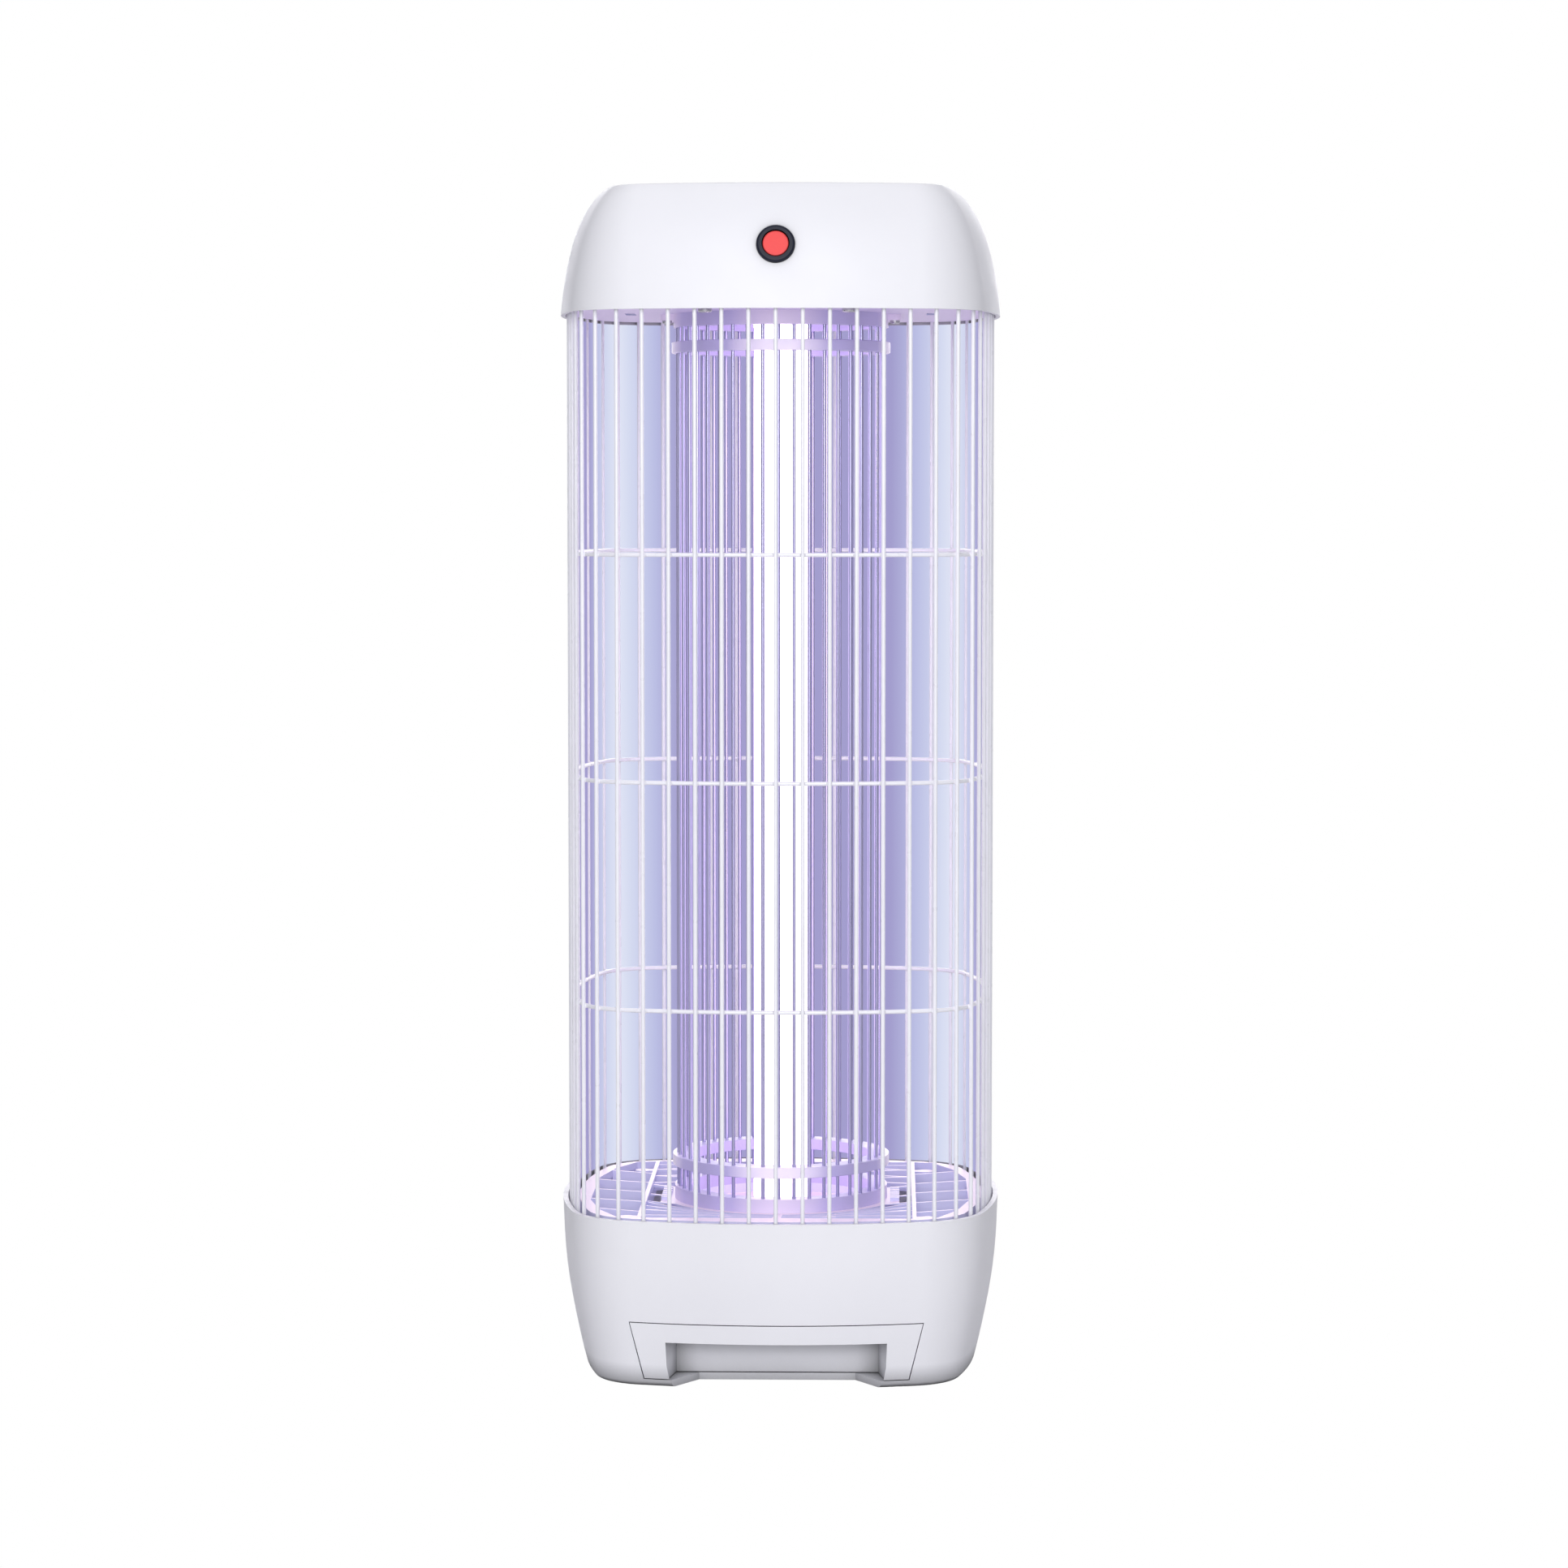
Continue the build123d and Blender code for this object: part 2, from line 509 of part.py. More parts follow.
def live_bus():
    low = UPPER_COLLAR_Z[1] - BUS_GROOVE_DEPTH
    ring = tube(BUS_OUTER, BUS_INNER, low, low + BUS_THICKNESS)
    return ring - block((-4, 4), (40, 60), (low - 1, low + 3))


def return_bus():
    high = LOWER_COLLAR_Z[0] + BUS_GROOVE_DEPTH
    return tube(BUS_OUTER, BUS_INNER, high - BUS_THICKNESS, high)


def collar_screws():
    head_z = UPPER_COLLAR_Z[1] - 3
    turned = Rot(180, 0, 0) * screw(COLLAR_SCREW)
    return group([Pos(side * COLLAR_EAR_X, 0, head_z) * turned for side in (-1, 1)])


# ================================================================ lamp
def lamp_tube():
    return tube(LAMP_RADIUS, LAMP_RADIUS - LAMP_WALL, LAMP_BOTTOM_Z + 1, LAMP_TOP_Z - 1)


def end_cap():
    """A lamp end cap standing on the origin, open at the top."""
    cup = rod(END_CAP_RADIUS, 0, END_CAP_HEIGHT)
    cup = fillet(cup.edges().group_by(Axis.Z)[0], 1.2)
    cup -= rod(LAMP_RADIUS + 0.05, 0.95, END_CAP_HEIGHT + 1)
    for side in (-1, 1):
        cup -= rod(PIN_RADIUS + 0.02, -1, 2, side * PIN_SPACING / 2)
    return cup


def lamp_pins():
    """Both pins of one end, hanging below the origin."""
    pins = []
    for side in (-1, 1):
        pin = rod(PIN_RADIUS, -PIN_LENGTH, 0.9, side * PIN_SPACING / 2)
        pins.append(fillet(pin.edges().group_by(Axis.Z)[0], 0.7))
    return pins


def electrode():
    """A glass stem with its coiled cathode, standing inside one end of the tube."""
    stem = rod(3.5, 1, 3) + Pos(0, 0, 3) * Cone(3.5, 1.6, 14, align=(Align.CENTER, Align.CENTER, Align.MIN))
    bar = Pos(0, 0, 22) * Rot(0, 90, 0) * Cylinder(0.8, 12)
    posts = [rod(0.5, 12, 22, side * 1.2) for side in (-1, 1)]
    arms = [Pos(side * 3.4, 0, 19) * Rot(0, side * 45, 0) * Cylinder(0.5, 8) for side in (-1, 1)]
    return stem + posts + arms + bar


def at_lamp_ends(make):
    """One copy of a piece at the lamp's bottom end and one turned over at its top end."""
    bottom = Pos(0, 0, LAMP_BOTTOM_Z)
    top = Pos(0, 0, LAMP_TOP_Z) * Rot(180, 0, 0)
    return bottom * make(), top * make()


def lampholder():
    """A push-in G13 lampholder hanging below a lamp end at the origin."""
    body = rod(15.0, -HOLDER_LENGTH, -0.3)
    body = fillet(body.edges().group_by(Axis.Z)[0], 1.5)
    holder = body + block((-12, 12), (-22.5, 22.5), (-HOLDER_FLANGE[1], -HOLDER_FLANGE[0]))
    for side in (-1, 1):
        holder -= rod(PIN_RADIUS + 0.15, -9.0, 1, side * PIN_SPACING / 2)
        holder -= rod(HOLDER_SCREW[2] + 0.2, -10, -4, 0, side * HOLDER_SCREW_Y)
        holder -= block(sorted((side * 4, side * 9)), (-2, 2), (-HOLDER_LENGTH - 1, -HOLDER_LENGTH + 5))
    return holder


def holder_screws():
    screws = []
    for side in (-1, 1):
        below = Pos(0, side * HOLDER_SCREW_Y, LAMP_BOTTOM_Z - HOLDER_FLANGE[1]) * Rot(180, 0, 0)
        above = Pos(0, side * HOLDER_SCREW_Y, LAMP_TOP_Z + HOLDER_FLANGE[1])
        screws += [below * screw(HOLDER_SCREW), above * screw(HOLDER_SCREW)]
    return group(screws)


# ================================================================ cap
def cap_outer():
    outer = moulding(CAP_PROFILE, lift=CAP_RIM_Z)
    top_edges = outer.edges().group_by(Axis.Z)[-1]
    return fillet(top_edges, CAP_EDGE_RADIUS)


def cap_shell():
    roof = CAP_RIM_Z + CAP_HEIGHT - CAP_WALL
    cavity = moulding(CAP_PROFILE, CAP_WALL, CAP_RIM_Z) & block((-120, 120), (-120, 120), (CAP_RIM_Z, roof))
    shell = cap_outer() - cavity
    for x, y in corners(*CAP_BOSS):
        shell += rod(4.5, PLATE_Z[1], roof + 0.5, x, y)
        shell -= rod(PLATE_SCREW[2] + PILOT_CLEARANCE, PLATE_Z[1] - 1, PLATE_Z[1] + 12, x, y)
    seat = cap_place()
    shell += seat * rod(SWITCH_NUT_RADIUS + 1.0, SWITCH_SEAT_Z, -1.0)
    shell -= seat * rod(BEZEL_RADIUS + 0.15, -BEZEL_SUNK, 10)
    shell -= seat * rod(BARREL_RADIUS + 0.1, -10, 10)
    gland = gland_place()
    shell += gland * rod(GLAND_SEAT_RADIUS, GLAND_NUT_Y[1], GLAND_FACE_Y)
    shell -= gland * rod(GLAND_FLANGE_RADIUS + 0.15, GLAND_FACE_Y, 120)
    shell -= gland * rod(GLAND_BARREL_RADIUS + 0.1, 80, 120)
    return shell


def board_corners(side):
    """Fixing points of one circuit board."""
    return [(side * x, y) for x in (BOARD_X[0] + 4, BOARD_X[1] - 4) for y in (BOARD_Y[0] + 4, BOARD_Y[1] - 4)]


def cap_floor_plate():
    low, high = PLATE_Z
    plate = slab(PLATE_HALF, low, high)
    plate -= [rod(GUARD_WIRE_RADIUS + 0.08, low - 1, high + 1, p.X, p.Y) for p in guard_points()]
    for side in (-1, 1):
        plate += rod(3.4, high - 0.5, LAMP_TOP_Z + HOLDER_FLANGE[0], 0, side * HOLDER_SCREW_Y)
        plate -= rod(HOLDER_SCREW[2] + PILOT_CLEARANCE, high + 0.8, high + 10, 0, side * HOLDER_SCREW_Y)
        plate += rod(3.0, high - 0.5, high + 5.0, side * COLLAR_EAR_X)
        plate -= rod(COLLAR_SCREW[2] + PILOT_CLEARANCE, low - 1, high + 4.0, side * COLLAR_EAR_X)
        vent_x = sorted((side * (VENT_X - VENT_WIDTH / 2), side * (VENT_X + VENT_WIDTH / 2)))
        plate -= block(vent_x, (-VENT_LENGTH / 2, VENT_LENGTH / 2), (low - 1, high + 1))
        for x, y in board_corners(side):
            plate += rod(3.0, high - 0.5, BOARD_Z[0], x, y)
            plate -= rod(BOARD_SCREW[2] + PILOT_CLEARANCE, high + 0.5, BOARD_Z[1], x, y)
    plate -= rod(HOLDER_HOLE_RADIUS, low - 1, high + 10)
    plate -= rod(ROD_RADIUS + 0.4, low - 1, high + 1, 0, GRID_RADIUS)
    plate -= rod(LEAD_RADIUS + 0.4, low - 1, high + 1, *LIVE_LEAD_AT)
    plate -= [rod(PLATE_SCREW[2] + 0.2, low - 1, high + 1, x, y) for x, y in corners(*CAP_BOSS)]
    return plate


def plate_screws():
    return group([Pos(x, y, PLATE_Z[0]) * Rot(180, 0, 0) * screw(PLATE_SCREW) for x, y in corners(*CAP_BOSS)])


# ================================================================ push switch
def switch_housing():
    bezel = rod(BEZEL_RADIUS, -BEZEL_SUNK, BEZEL_PROUD)
    bezel = fillet(bezel.edges().group_by(Axis.Z)[-1], 1.2)
    barrel = rod(BARREL_RADIUS, -BARREL_DEPTH, -BEZEL_SUNK)
    housing = bezel + barrel
    housing -= rod(BUTTON_RADIUS + 0.3, SWITCH_SHOULDER, BEZEL_PROUD + 1)
    housing -= rod(STEM_RADIUS + 0.3, -BARREL_DEPTH - 1, SWITCH_SHOULDER + 1)
    return cap_place() * housing


def switch_button():
    button = rod(BUTTON_RADIUS, -BUTTON_DEPTH, BUTTON_PROUD)
    button = fillet(button.edges().group_by(Axis.Z)[-1], 0.8)
    stem = rod(STEM_RADIUS, SWITCH_SHOULDER - 1.2, -BUTTON_DEPTH)
    return cap_place() * (button + stem)


def switch_spring():
    """A coil spring between the button's back and the housing's shoulder."""
    length = -BUTTON_DEPTH - SWITCH_SHOULDER - 2 * SPRING_WIRE - 0.1
    path = Helix(pitch=length / SPRING_TURNS, height=length, radius=SPRING_RADIUS)
    section = Plane(origin=path @ 0, z_dir=path % 0) * Circle(SPRING_WIRE)
    spring = sweep(section, path=path, is_frenet=True)
    return cap_place() * Pos(0, 0, SWITCH_SHOULDER + SPRING_WIRE + 0.05) * spring


def switch_nut():
    nut = extrude(RegularPolygon(SWITCH_NUT_RADIUS, 6), amount=-SWITCH_NUT_HEIGHT)
    nut -= rod(BARREL_RADIUS + 0.05, -10, 1)
    return cap_place() * Pos(0, 0, SWITCH_SEAT_Z) * nut


def switch_contacts():
    body = rod(BARREL_RADIUS, -BARREL_DEPTH - SWITCH_BODY_LENGTH, -BARREL_DEPTH)
    return cap_place() * fillet(body.edges().group_by(Axis.Z)[0], 1.0)


def switch_terminals():
    low = -BARREL_DEPTH - SWITCH_BODY_LENGTH - TERMINAL_LENGTH
    high = -BARREL_DEPTH - SWITCH_BODY_LENGTH
    blades = [block((x - 0.4, x + 0.4), (-1.6, 1.6), (low, high)) for x in (-TERMINAL_X, TERMINAL_X)]
    return group([cap_place() * blade for blade in blades])


# ================================================================ cable gland
def cable_gland():
    outer_y = GLAND_FACE_Y + GLAND_FLANGE
    gland = rod(GLAND_FLANGE_RADIUS, GLAND_FACE_Y, outer_y)
    gland = fillet(gland.edges().group_by(Axis.Z)[-1], 1.0)
    gland += rod(GLAND_BARREL_RADIUS, outer_y - GLAND_LENGTH, GLAND_FACE_Y)
    gland -= rod(GLAND_BORE_RADIUS, outer_y - GLAND_LENGTH - 1, outer_y + 1)
    return gland_place() * gland


def gland_nut():
    low, high = GLAND_NUT_Y
    nut = Pos(0, 0, low) * extrude(RegularPolygon(GLAND_BARREL_RADIUS + 3.0, 6), amount=high - low)
    return gland_place() * (nut - rod(GLAND_BARREL_RADIUS + 0.05, low - 1, high + 1))


# ================================================================ circuit boards
def circuit_board(side):
    x_range = sorted((side * BOARD_X[0], side * BOARD_X[1]))
    board = block(x_range, BOARD_Y, BOARD_Z)
    board = fillet(board.edges().filter_by(Axis.Z), 2.0)
    return board - [rod(BOARD_SCREW[2] + 0.2, 500, 540, x, y) for x, y in board_corners(side)]


def board_screws():
    places = board_corners(-1) + board_corners(1)
    return group([Pos(x, y, BOARD_Z[1]) * screw(BOARD_SCREW) for x, y in places])


def on_board(place):
    """A spot on top of a circuit board."""
    return Pos(*place, BOARD_Z[1])


def choke_core():
    """The ballast choke's ferrite frame: a middle leg and two outer legs between two yokes."""
    half, depth, yoke = CHOKE_WIDTH / 2, CHOKE_DEPTH / 2, CHOKE_LEG / 2
    low, high = CHOKE_LIFT, CHOKE_LIFT + CHOKE_HEIGHT
    core = block((-half, half), (-depth, depth), (low, high))
    for side in (-1, 1):
        window_x = sorted((side * CHOKE_LEG / 2, side * (half - yoke)))
        core -= block(window_x, (-depth - 1, depth + 1), (low + yoke, high - yoke))
    return on_board(CHOKE_AT) * core


def choke_winding():
    """The coil round the choke's middle leg, on four pins."""
    half_x, half_y = CHOKE_WIDTH / 2 - CHOKE_LEG / 2 - 0.4, CHOKE_DEPTH / 2 + 5.0
    low, high = CHOKE_LIFT + CHOKE_LEG / 2 + 0.4, CHOKE_LIFT + CHOKE_HEIGHT - CHOKE_LEG / 2 - 0.4
    coil = block((-half_x, half_x), (-half_y, half_y), (low, high))
    coil = fillet(coil.edges().filter_by(Axis.Z), 2.0)
    coil -= Box(CHOKE_LEG + 0.6, CHOKE_DEPTH + 0.6, 100)
    pins = [rod(0.6, 0, low, x, y) for x, y in corners(half_x - 3.0, half_y - 2.0)]
    return on_board(CHOKE_AT) * (coil + pins)


def ballast_capacitor():
    can = rod(7.0, 0, 22)
    return on_board(BALLAST_CAPACITOR_AT) * fillet(can.edges().group_by(Axis.Z)[-1], 1.0)


def ballast_transistors():
    """Two power transistors standing on their three legs, tabs outward."""
    transistor = block((-2.0, 2.5), (-5, 5), (4, 14)) + block((1.3, 2.5), (-5, 5), (14, 19))
    transistor += [block((-0.2, 0.6), (y - 0.4, y + 0.4), (0, 4)) for y in (-2.5, 0, 2.5)]
    return group([on_board(place) * transistor for place in TRANSISTORS_AT])


def multiplier_capacitors():
    """Four film capacitors standing in a row."""
    body = block((-3.6, 3.6), (-10, 10), (1, 15))
    body = fillet(body.edges().filter_by(Axis.Y), 1.6)
    body += [rod(0.45, 0, 3, 0, y) for y in (-7, 7)]
    return group([on_board((x, CAPACITOR_Y)) * body for x in STAGE_X])


def axial_part(radius, length):
    """A component lying along Y above the board, on one wire bent down at both ends."""
    lift, reach = radius + 0.8, length / 2 + 2.5
    body = Pos(0, 0, lift) * Rot(90, 0, 0) * Cylinder(radius, length)
    body = fillet(body.edges(), radius * 0.3)
    wire = lead([(0, -reach, 0), (0, -reach, lift), (0, reach, lift), (0, reach, 0)], 1.0, 0.35)
    return body + wire


def multiplier_diodes():
    return group([on_board((x, DIODE_Y)) * axial_part(1.5, 6.0) for x in STAGE_X])


def discharge_resistors():
    return group([on_board(place) * axial_part(2.2, 11.0) for place in RESISTORS_AT])


def terminal_block():
    middle_y = sum(TERMINAL_BLOCK_Y) / 2
    body = block((-20, 20), TERMINAL_BLOCK_Y, (PLATE_Z[1], PLATE_Z[1] + 13))
    body = fillet(body.edges().filter_by(Axis.X), 1.2)
    for x in TERMINAL_WAYS:
        body -= Pos(x, middle_y, LEAD_ENTRY_Z) * Rot(90, 0, 0) * Cylinder(LEAD_RADIUS + 0.6, 30)
        body -= rod(2.0, LEAD_ENTRY_Z + 3, 540, x, middle_y)
    return body


def terminal_clamps():
    """The brass clamp screws in the terminal block."""
    y = sum(TERMINAL_BLOCK_Y) / 2
    clamps = []
    for x in TERMINAL_WAYS:
        clamp = rod(1.8, LEAD_ENTRY_Z + 3.1, LEAD_ENTRY_Z + 6.5, x, y)
        clamps.append(clamp - block((x - 2, x + 2), (y - 0.3, y + 0.3), (LEAD_ENTRY_Z + 5.7, 540)))
    return group(clamps)


def fuse_bore():
    """Room for the fuse's glass inside its end caps and clips."""
    return Cylinder(2.52, 19.1, rotation=(90, 0, 0))


def fuse_glass():
    return on_board(FUSE_AT) * Pos(0, 0, 5) * Rot(90, 0, 0) * (Cylinder(2.5, 19.0) - Cylinder(2.0, 20.0))


def fuse_ends():
    ends = []
    for side in (-1, 1):
        cup = Pos(0, side * 8.0, 0) * Rot(90, 0, 0) * Cylinder(2.85, 5.2)
        clip = block((-2.2, 2.2), (side * 8 - 1.6, side * 8 + 1.6), (-5, -2.5))
        ends.append(on_board(FUSE_AT) * Pos(0, 0, 5) * (cup + clip - fuse_bore()))
    return group(ends)


# ================================================================ inner leads
def switch_leads():
    """From the switch's blades, past the lampholder, to the terminal block's outer ways."""
    inward = cap_place().z_dir * -1
    blade_end = BARREL_DEPTH + SWITCH_BODY_LENGTH + TERMINAL_LENGTH
    way = TERMINAL_WAYS[-1]
    leads = []
    for side in (-1, 1):
        start = cap_place().origin + inward * blade_end + Vector(side * TERMINAL_X, 0, 0)
        points = [start, start + inward * 8,
                  (side * LEAD_CORRIDOR_X, -42, SWITCH_LEAD_Z), (side * LEAD_CORRIDOR_X, 36, SWITCH_LEAD_Z),
                  (side * way, TERMINAL_BLOCK_Y[0] - 9, LEAD_ENTRY_Z),
                  (side * way, TERMINAL_BLOCK_Y[0] + 2, LEAD_ENTRY_Z)]
        leads.append(lead(points, 4.0))
    return group(leads)


def board_leads():
    """From the terminal block's middle ways, up and over to the ballast board."""
    leads = []
    for way, pad, height in zip(TERMINAL_WAYS[1:3], MAINS_PADS, (536.0, 539.5)):
        back = TERMINAL_BLOCK_Y[1] + 8
        points = [(way, TERMINAL_BLOCK_Y[1] - 2, LEAD_ENTRY_Z), (way, back, LEAD_ENTRY_Z),
                  (way, back, height), (*pad, height), (*pad, BOARD_Z[1])]
        leads.append(lead(points, 3.5))
    return group(leads)


def lamp_leads():
    """From the ballast board to the upper lampholder's two slots."""
    holder_slot_z = LAMP_TOP_Z + HOLDER_LENGTH - 4.0
    leads = []
    for pad, end_x, height in zip(LAMP_PADS, (-6.5, 6.5), (541.0, 545.0)):
        points = [(*pad, BOARD_Z[1]), (*pad, height), (end_x, 0, height), (end_x, 0, holder_slot_z)]
        leads.append(lead(points, 4.0))
    return group(leads)


def grid_leads():
    """From the return tap rod and from the live bus bar to the multiplier board."""
    bus_top = UPPER_COLLAR_Z[1] - BUS_GROOVE_DEPTH + BUS_THICKNESS
    ends = [((0, GRID_RADIUS), TAP_ROD_TOP_Z, 536.0, RETURN_PAD), (LIVE_LEAD_AT, bus_top, 531.0, LIVE_PAD)]
    leads = []
    for place, start_z, height, pad in ends:
        leads.append(lead([(*place, start_z), (*place, height), (*pad, height), (*pad, BOARD_Z[1])], 4.0))
    return group(leads)


# ================================================================ every node
cap_bottom, cap_top = at_lamp_ends(end_cap)
electrode_bottom, electrode_top = at_lamp_ends(electrode)
holder_bottom, holder_top = at_lamp_ends(lampholder)
pins_bottom = [Pos(0, 0, LAMP_BOTTOM_Z) * pin for pin in lamp_pins()]
pins_top = [Pos(0, 0, LAMP_TOP_Z) * Rot(180, 0, 0) * pin for pin in lamp_pins()]

NODES = {
    "base_shell": base_shell(),
    "base_grate": base_grate(),
    "grate_screws": grate_screws(),
    "insect_drawer": insect_drawer(),
    "guard_wires": guard_wires(),
    "grid_rods_live": grid_rods_live(),
    "grid_rods_return": grid_rods_return(),
    "grid_collar_lower": lower_collar(),
    "grid_collar_upper": upper_collar(),
    "collar_screws": collar_screws(),
    "live_bus_ring": live_bus(),
    "return_bus_ring": return_bus(),
    "lamp_tube": lamp_tube(),
    "lamp_end_cap_lower": cap_bottom,
    "lamp_end_cap_upper": cap_top,
    "lamp_pins_lower": group(pins_bottom),
    "lamp_pins_upper": group(pins_top),
    "lamp_electrode_lower": electrode_bottom,
    "lamp_electrode_upper": electrode_top,
    "lampholder_lower": holder_bottom,
    "lampholder_upper": holder_top,
    "holder_screws": holder_screws(),
    "cap_shell": cap_shell(),
    "cap_floor_plate": cap_floor_plate(),
    "plate_screws": plate_screws(),
    "switch_housing": switch_housing(),
    "switch_button": switch_button(),
    "switch_spring": switch_spring(),
    "switch_nut": switch_nut(),
    "switch_contacts": switch_contacts(),
    "switch_terminals": switch_terminals(),
    "cable_gland": cable_gland(),
    "gland_nut": gland_nut(),
    "ballast_board": circuit_board(-1),
    "multiplier_board": circuit_board(1),
    "board_screws": board_screws(),
    "choke_core": choke_core(),
    "choke_winding": choke_winding(),
    "ballast_capacitor": ballast_capacitor(),
    "ballast_transistors": ballast_transistors(),
    "multiplier_capacitors": multiplier_capacitors(),
    "multiplier_diodes": multiplier_diodes(),
    "discharge_resistors": discharge_resistors(),
    "terminal_block": terminal_block(),
    "terminal_clamps": terminal_clamps(),
    "fuse_glass": fuse_glass(),
    "fuse_ends": fuse_ends(),
    "switch_leads": switch_leads(),
    "board_leads": board_leads(),
    "lamp_leads": lamp_leads(),
    "grid_leads": grid_leads(),
}
for name, z in HOOP_HEIGHTS.items():
    NODES[name] = hoop(GUARD_HALF - HOOP_INSET, z, GUARD_WIRE_RADIUS)
for name, z in RING_HEIGHTS.items():
    NODES[name] = grid_ring(z)

os.makedirs("parts", exist_ok=True)
for name, shape in NODES.items():
    export_step(shape, f"parts/{name}.step")
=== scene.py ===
import json
import math

import bmesh
import bpy
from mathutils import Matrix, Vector


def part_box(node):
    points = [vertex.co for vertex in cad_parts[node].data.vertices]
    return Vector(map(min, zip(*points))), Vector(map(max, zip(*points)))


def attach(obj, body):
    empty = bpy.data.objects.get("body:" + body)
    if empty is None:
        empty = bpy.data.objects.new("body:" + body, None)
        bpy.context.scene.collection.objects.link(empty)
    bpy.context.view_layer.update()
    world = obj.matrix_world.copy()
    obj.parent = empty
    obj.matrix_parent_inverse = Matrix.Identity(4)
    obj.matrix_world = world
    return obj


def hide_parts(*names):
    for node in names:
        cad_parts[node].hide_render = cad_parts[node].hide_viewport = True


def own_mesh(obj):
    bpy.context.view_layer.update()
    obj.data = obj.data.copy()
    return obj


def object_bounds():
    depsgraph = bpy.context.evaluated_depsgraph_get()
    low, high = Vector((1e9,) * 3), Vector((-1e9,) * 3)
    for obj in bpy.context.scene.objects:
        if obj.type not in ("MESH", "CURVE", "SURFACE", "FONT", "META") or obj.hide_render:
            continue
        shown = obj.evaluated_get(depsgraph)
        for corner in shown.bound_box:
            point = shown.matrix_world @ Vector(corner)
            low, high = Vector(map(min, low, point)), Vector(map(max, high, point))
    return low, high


# The looks of the electric insect killer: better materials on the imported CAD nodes, two finer
# pieces, the lamp's violet light, and a white studio. Metres, +Z up, and the front faces -Y.

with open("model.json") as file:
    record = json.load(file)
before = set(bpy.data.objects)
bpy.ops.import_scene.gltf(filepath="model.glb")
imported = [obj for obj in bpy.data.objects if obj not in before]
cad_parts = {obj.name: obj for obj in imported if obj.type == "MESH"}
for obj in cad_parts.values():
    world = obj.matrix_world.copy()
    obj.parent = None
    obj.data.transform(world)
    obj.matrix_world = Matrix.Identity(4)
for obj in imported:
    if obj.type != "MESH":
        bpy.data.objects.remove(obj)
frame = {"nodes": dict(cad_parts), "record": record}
CAD_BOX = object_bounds()
NODES = frame["nodes"]


# ================================================================ places, read from the frame
lamp_low, lamp_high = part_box("lamp_tube")
guard_low, guard_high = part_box("guard_wires")
WIRE_RADIUS = 0.001
GUARD_HALF = (guard_high.x - guard_low.x) / 2 - WIRE_RADIUS   # to the wires' centre lines
RING_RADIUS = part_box("grid_ring_lower")[1].x
HEART = (0, 0, CAD_BOX[1].z / 2)                              # the middle of the object


# ================================================================ camera
CAMERA_DISTANCE = 2.114       # from the object's axis, along the floor
CAMERA_HEIGHT = 0.4205
CAMERA_TILT = 3.77            # degrees below level
CAMERA_ROUND = 1.4            # degrees round towards +X
CAMERA_ASIDE = 0.04           # degrees the view is turned off the object's axis
CAMERA_LENS = 98.94           # millimetres
CAMERA_SENSOR = 36.0          # millimetres across


def make_camera():
    data = bpy.data.cameras.new("camera")
    data.lens = CAMERA_LENS
    data.sensor_width = CAMERA_SENSOR
    camera = bpy.data.objects.new("camera", data)
    bpy.context.collection.objects.link(camera)
    round_angle = math.radians(CAMERA_ROUND)
    camera.location = (CAMERA_DISTANCE * math.sin(round_angle),
                       -CAMERA_DISTANCE * math.cos(round_angle), CAMERA_HEIGHT)
    camera.rotation_euler = (math.radians(90 - CAMERA_TILT), 0,
                             round_angle - math.radians(CAMERA_ASIDE))
    bpy.context.scene.camera = camera


# ================================================================ outlines and tubes
CORNER_CENTRE = 0.060         # X and Y of the plan's corner arcs' centres
SIDE_ARC_OFFSET = 0.1765      # how far behind the centre each side arc is centred


def rounded_square(half, steps):
    """The body's plan outline at a half width: bulging sides joined by tangent corner arcs."""
    span = math.hypot(CORNER_CENTRE, CORNER_CENTRE + SIDE_ARC_OFFSET)
    corner = half + SIDE_ARC_OFFSET - span
    side = half + SIDE_ARC_OFFSET
    lean = math.atan2(CORNER_CENTRE, CORNER_CENTRE + SIDE_ARC_OFFSET)
    outline = []
    for quarter in range(4):
        turn = quarter * math.pi / 2
        arc = []
        for i in range(steps):
            angle = -lean + 2 * lean * i / steps
            arc.append((side * math.sin(angle), SIDE_ARC_OFFSET - side * math.cos(angle)))
        for i in range(steps):
            angle = lean + (math.pi / 2 - 2 * lean) * i / steps
            arc.append((CORNER_CENTRE + corner * math.sin(angle),
                        -CORNER_CENTRE - corner * math.cos(angle)))
        for x, y in arc:
            outline.append((x * math.cos(turn) - y * math.sin(turn),
                            x * math.sin(turn) + y * math.cos(turn)))
    return outline


def circle(radius, steps):
    """The places round a circle about the object's axis."""
    turns = [2 * math.pi * i / steps for i in range(steps)]
    return [(radius * math.cos(turn), radius * math.sin(turn)) for turn in turns]


def tube(outline, low, high):
    """The points and faces of an open tube that follows an outline between two heights."""
    count = len(outline)
    points = [(x, y, z) for z in (low, high) for x, y in outline]
    faces = [(i, (i + 1) % count, count + (i + 1) % count, count + i) for i in range(count)]
    return points, faces


# ================================================================ material helpers
NOISE_LOW, NOISE_HIGH = 0.3, 0.7      # most of a noise lies between these
GRAIN_SCALE, GRAIN_DEPTH = 2600.0, 0.00002
# rays that measure the painted shade in gaps and recesses
PAINTED_SHADE_SAMPLES = 8


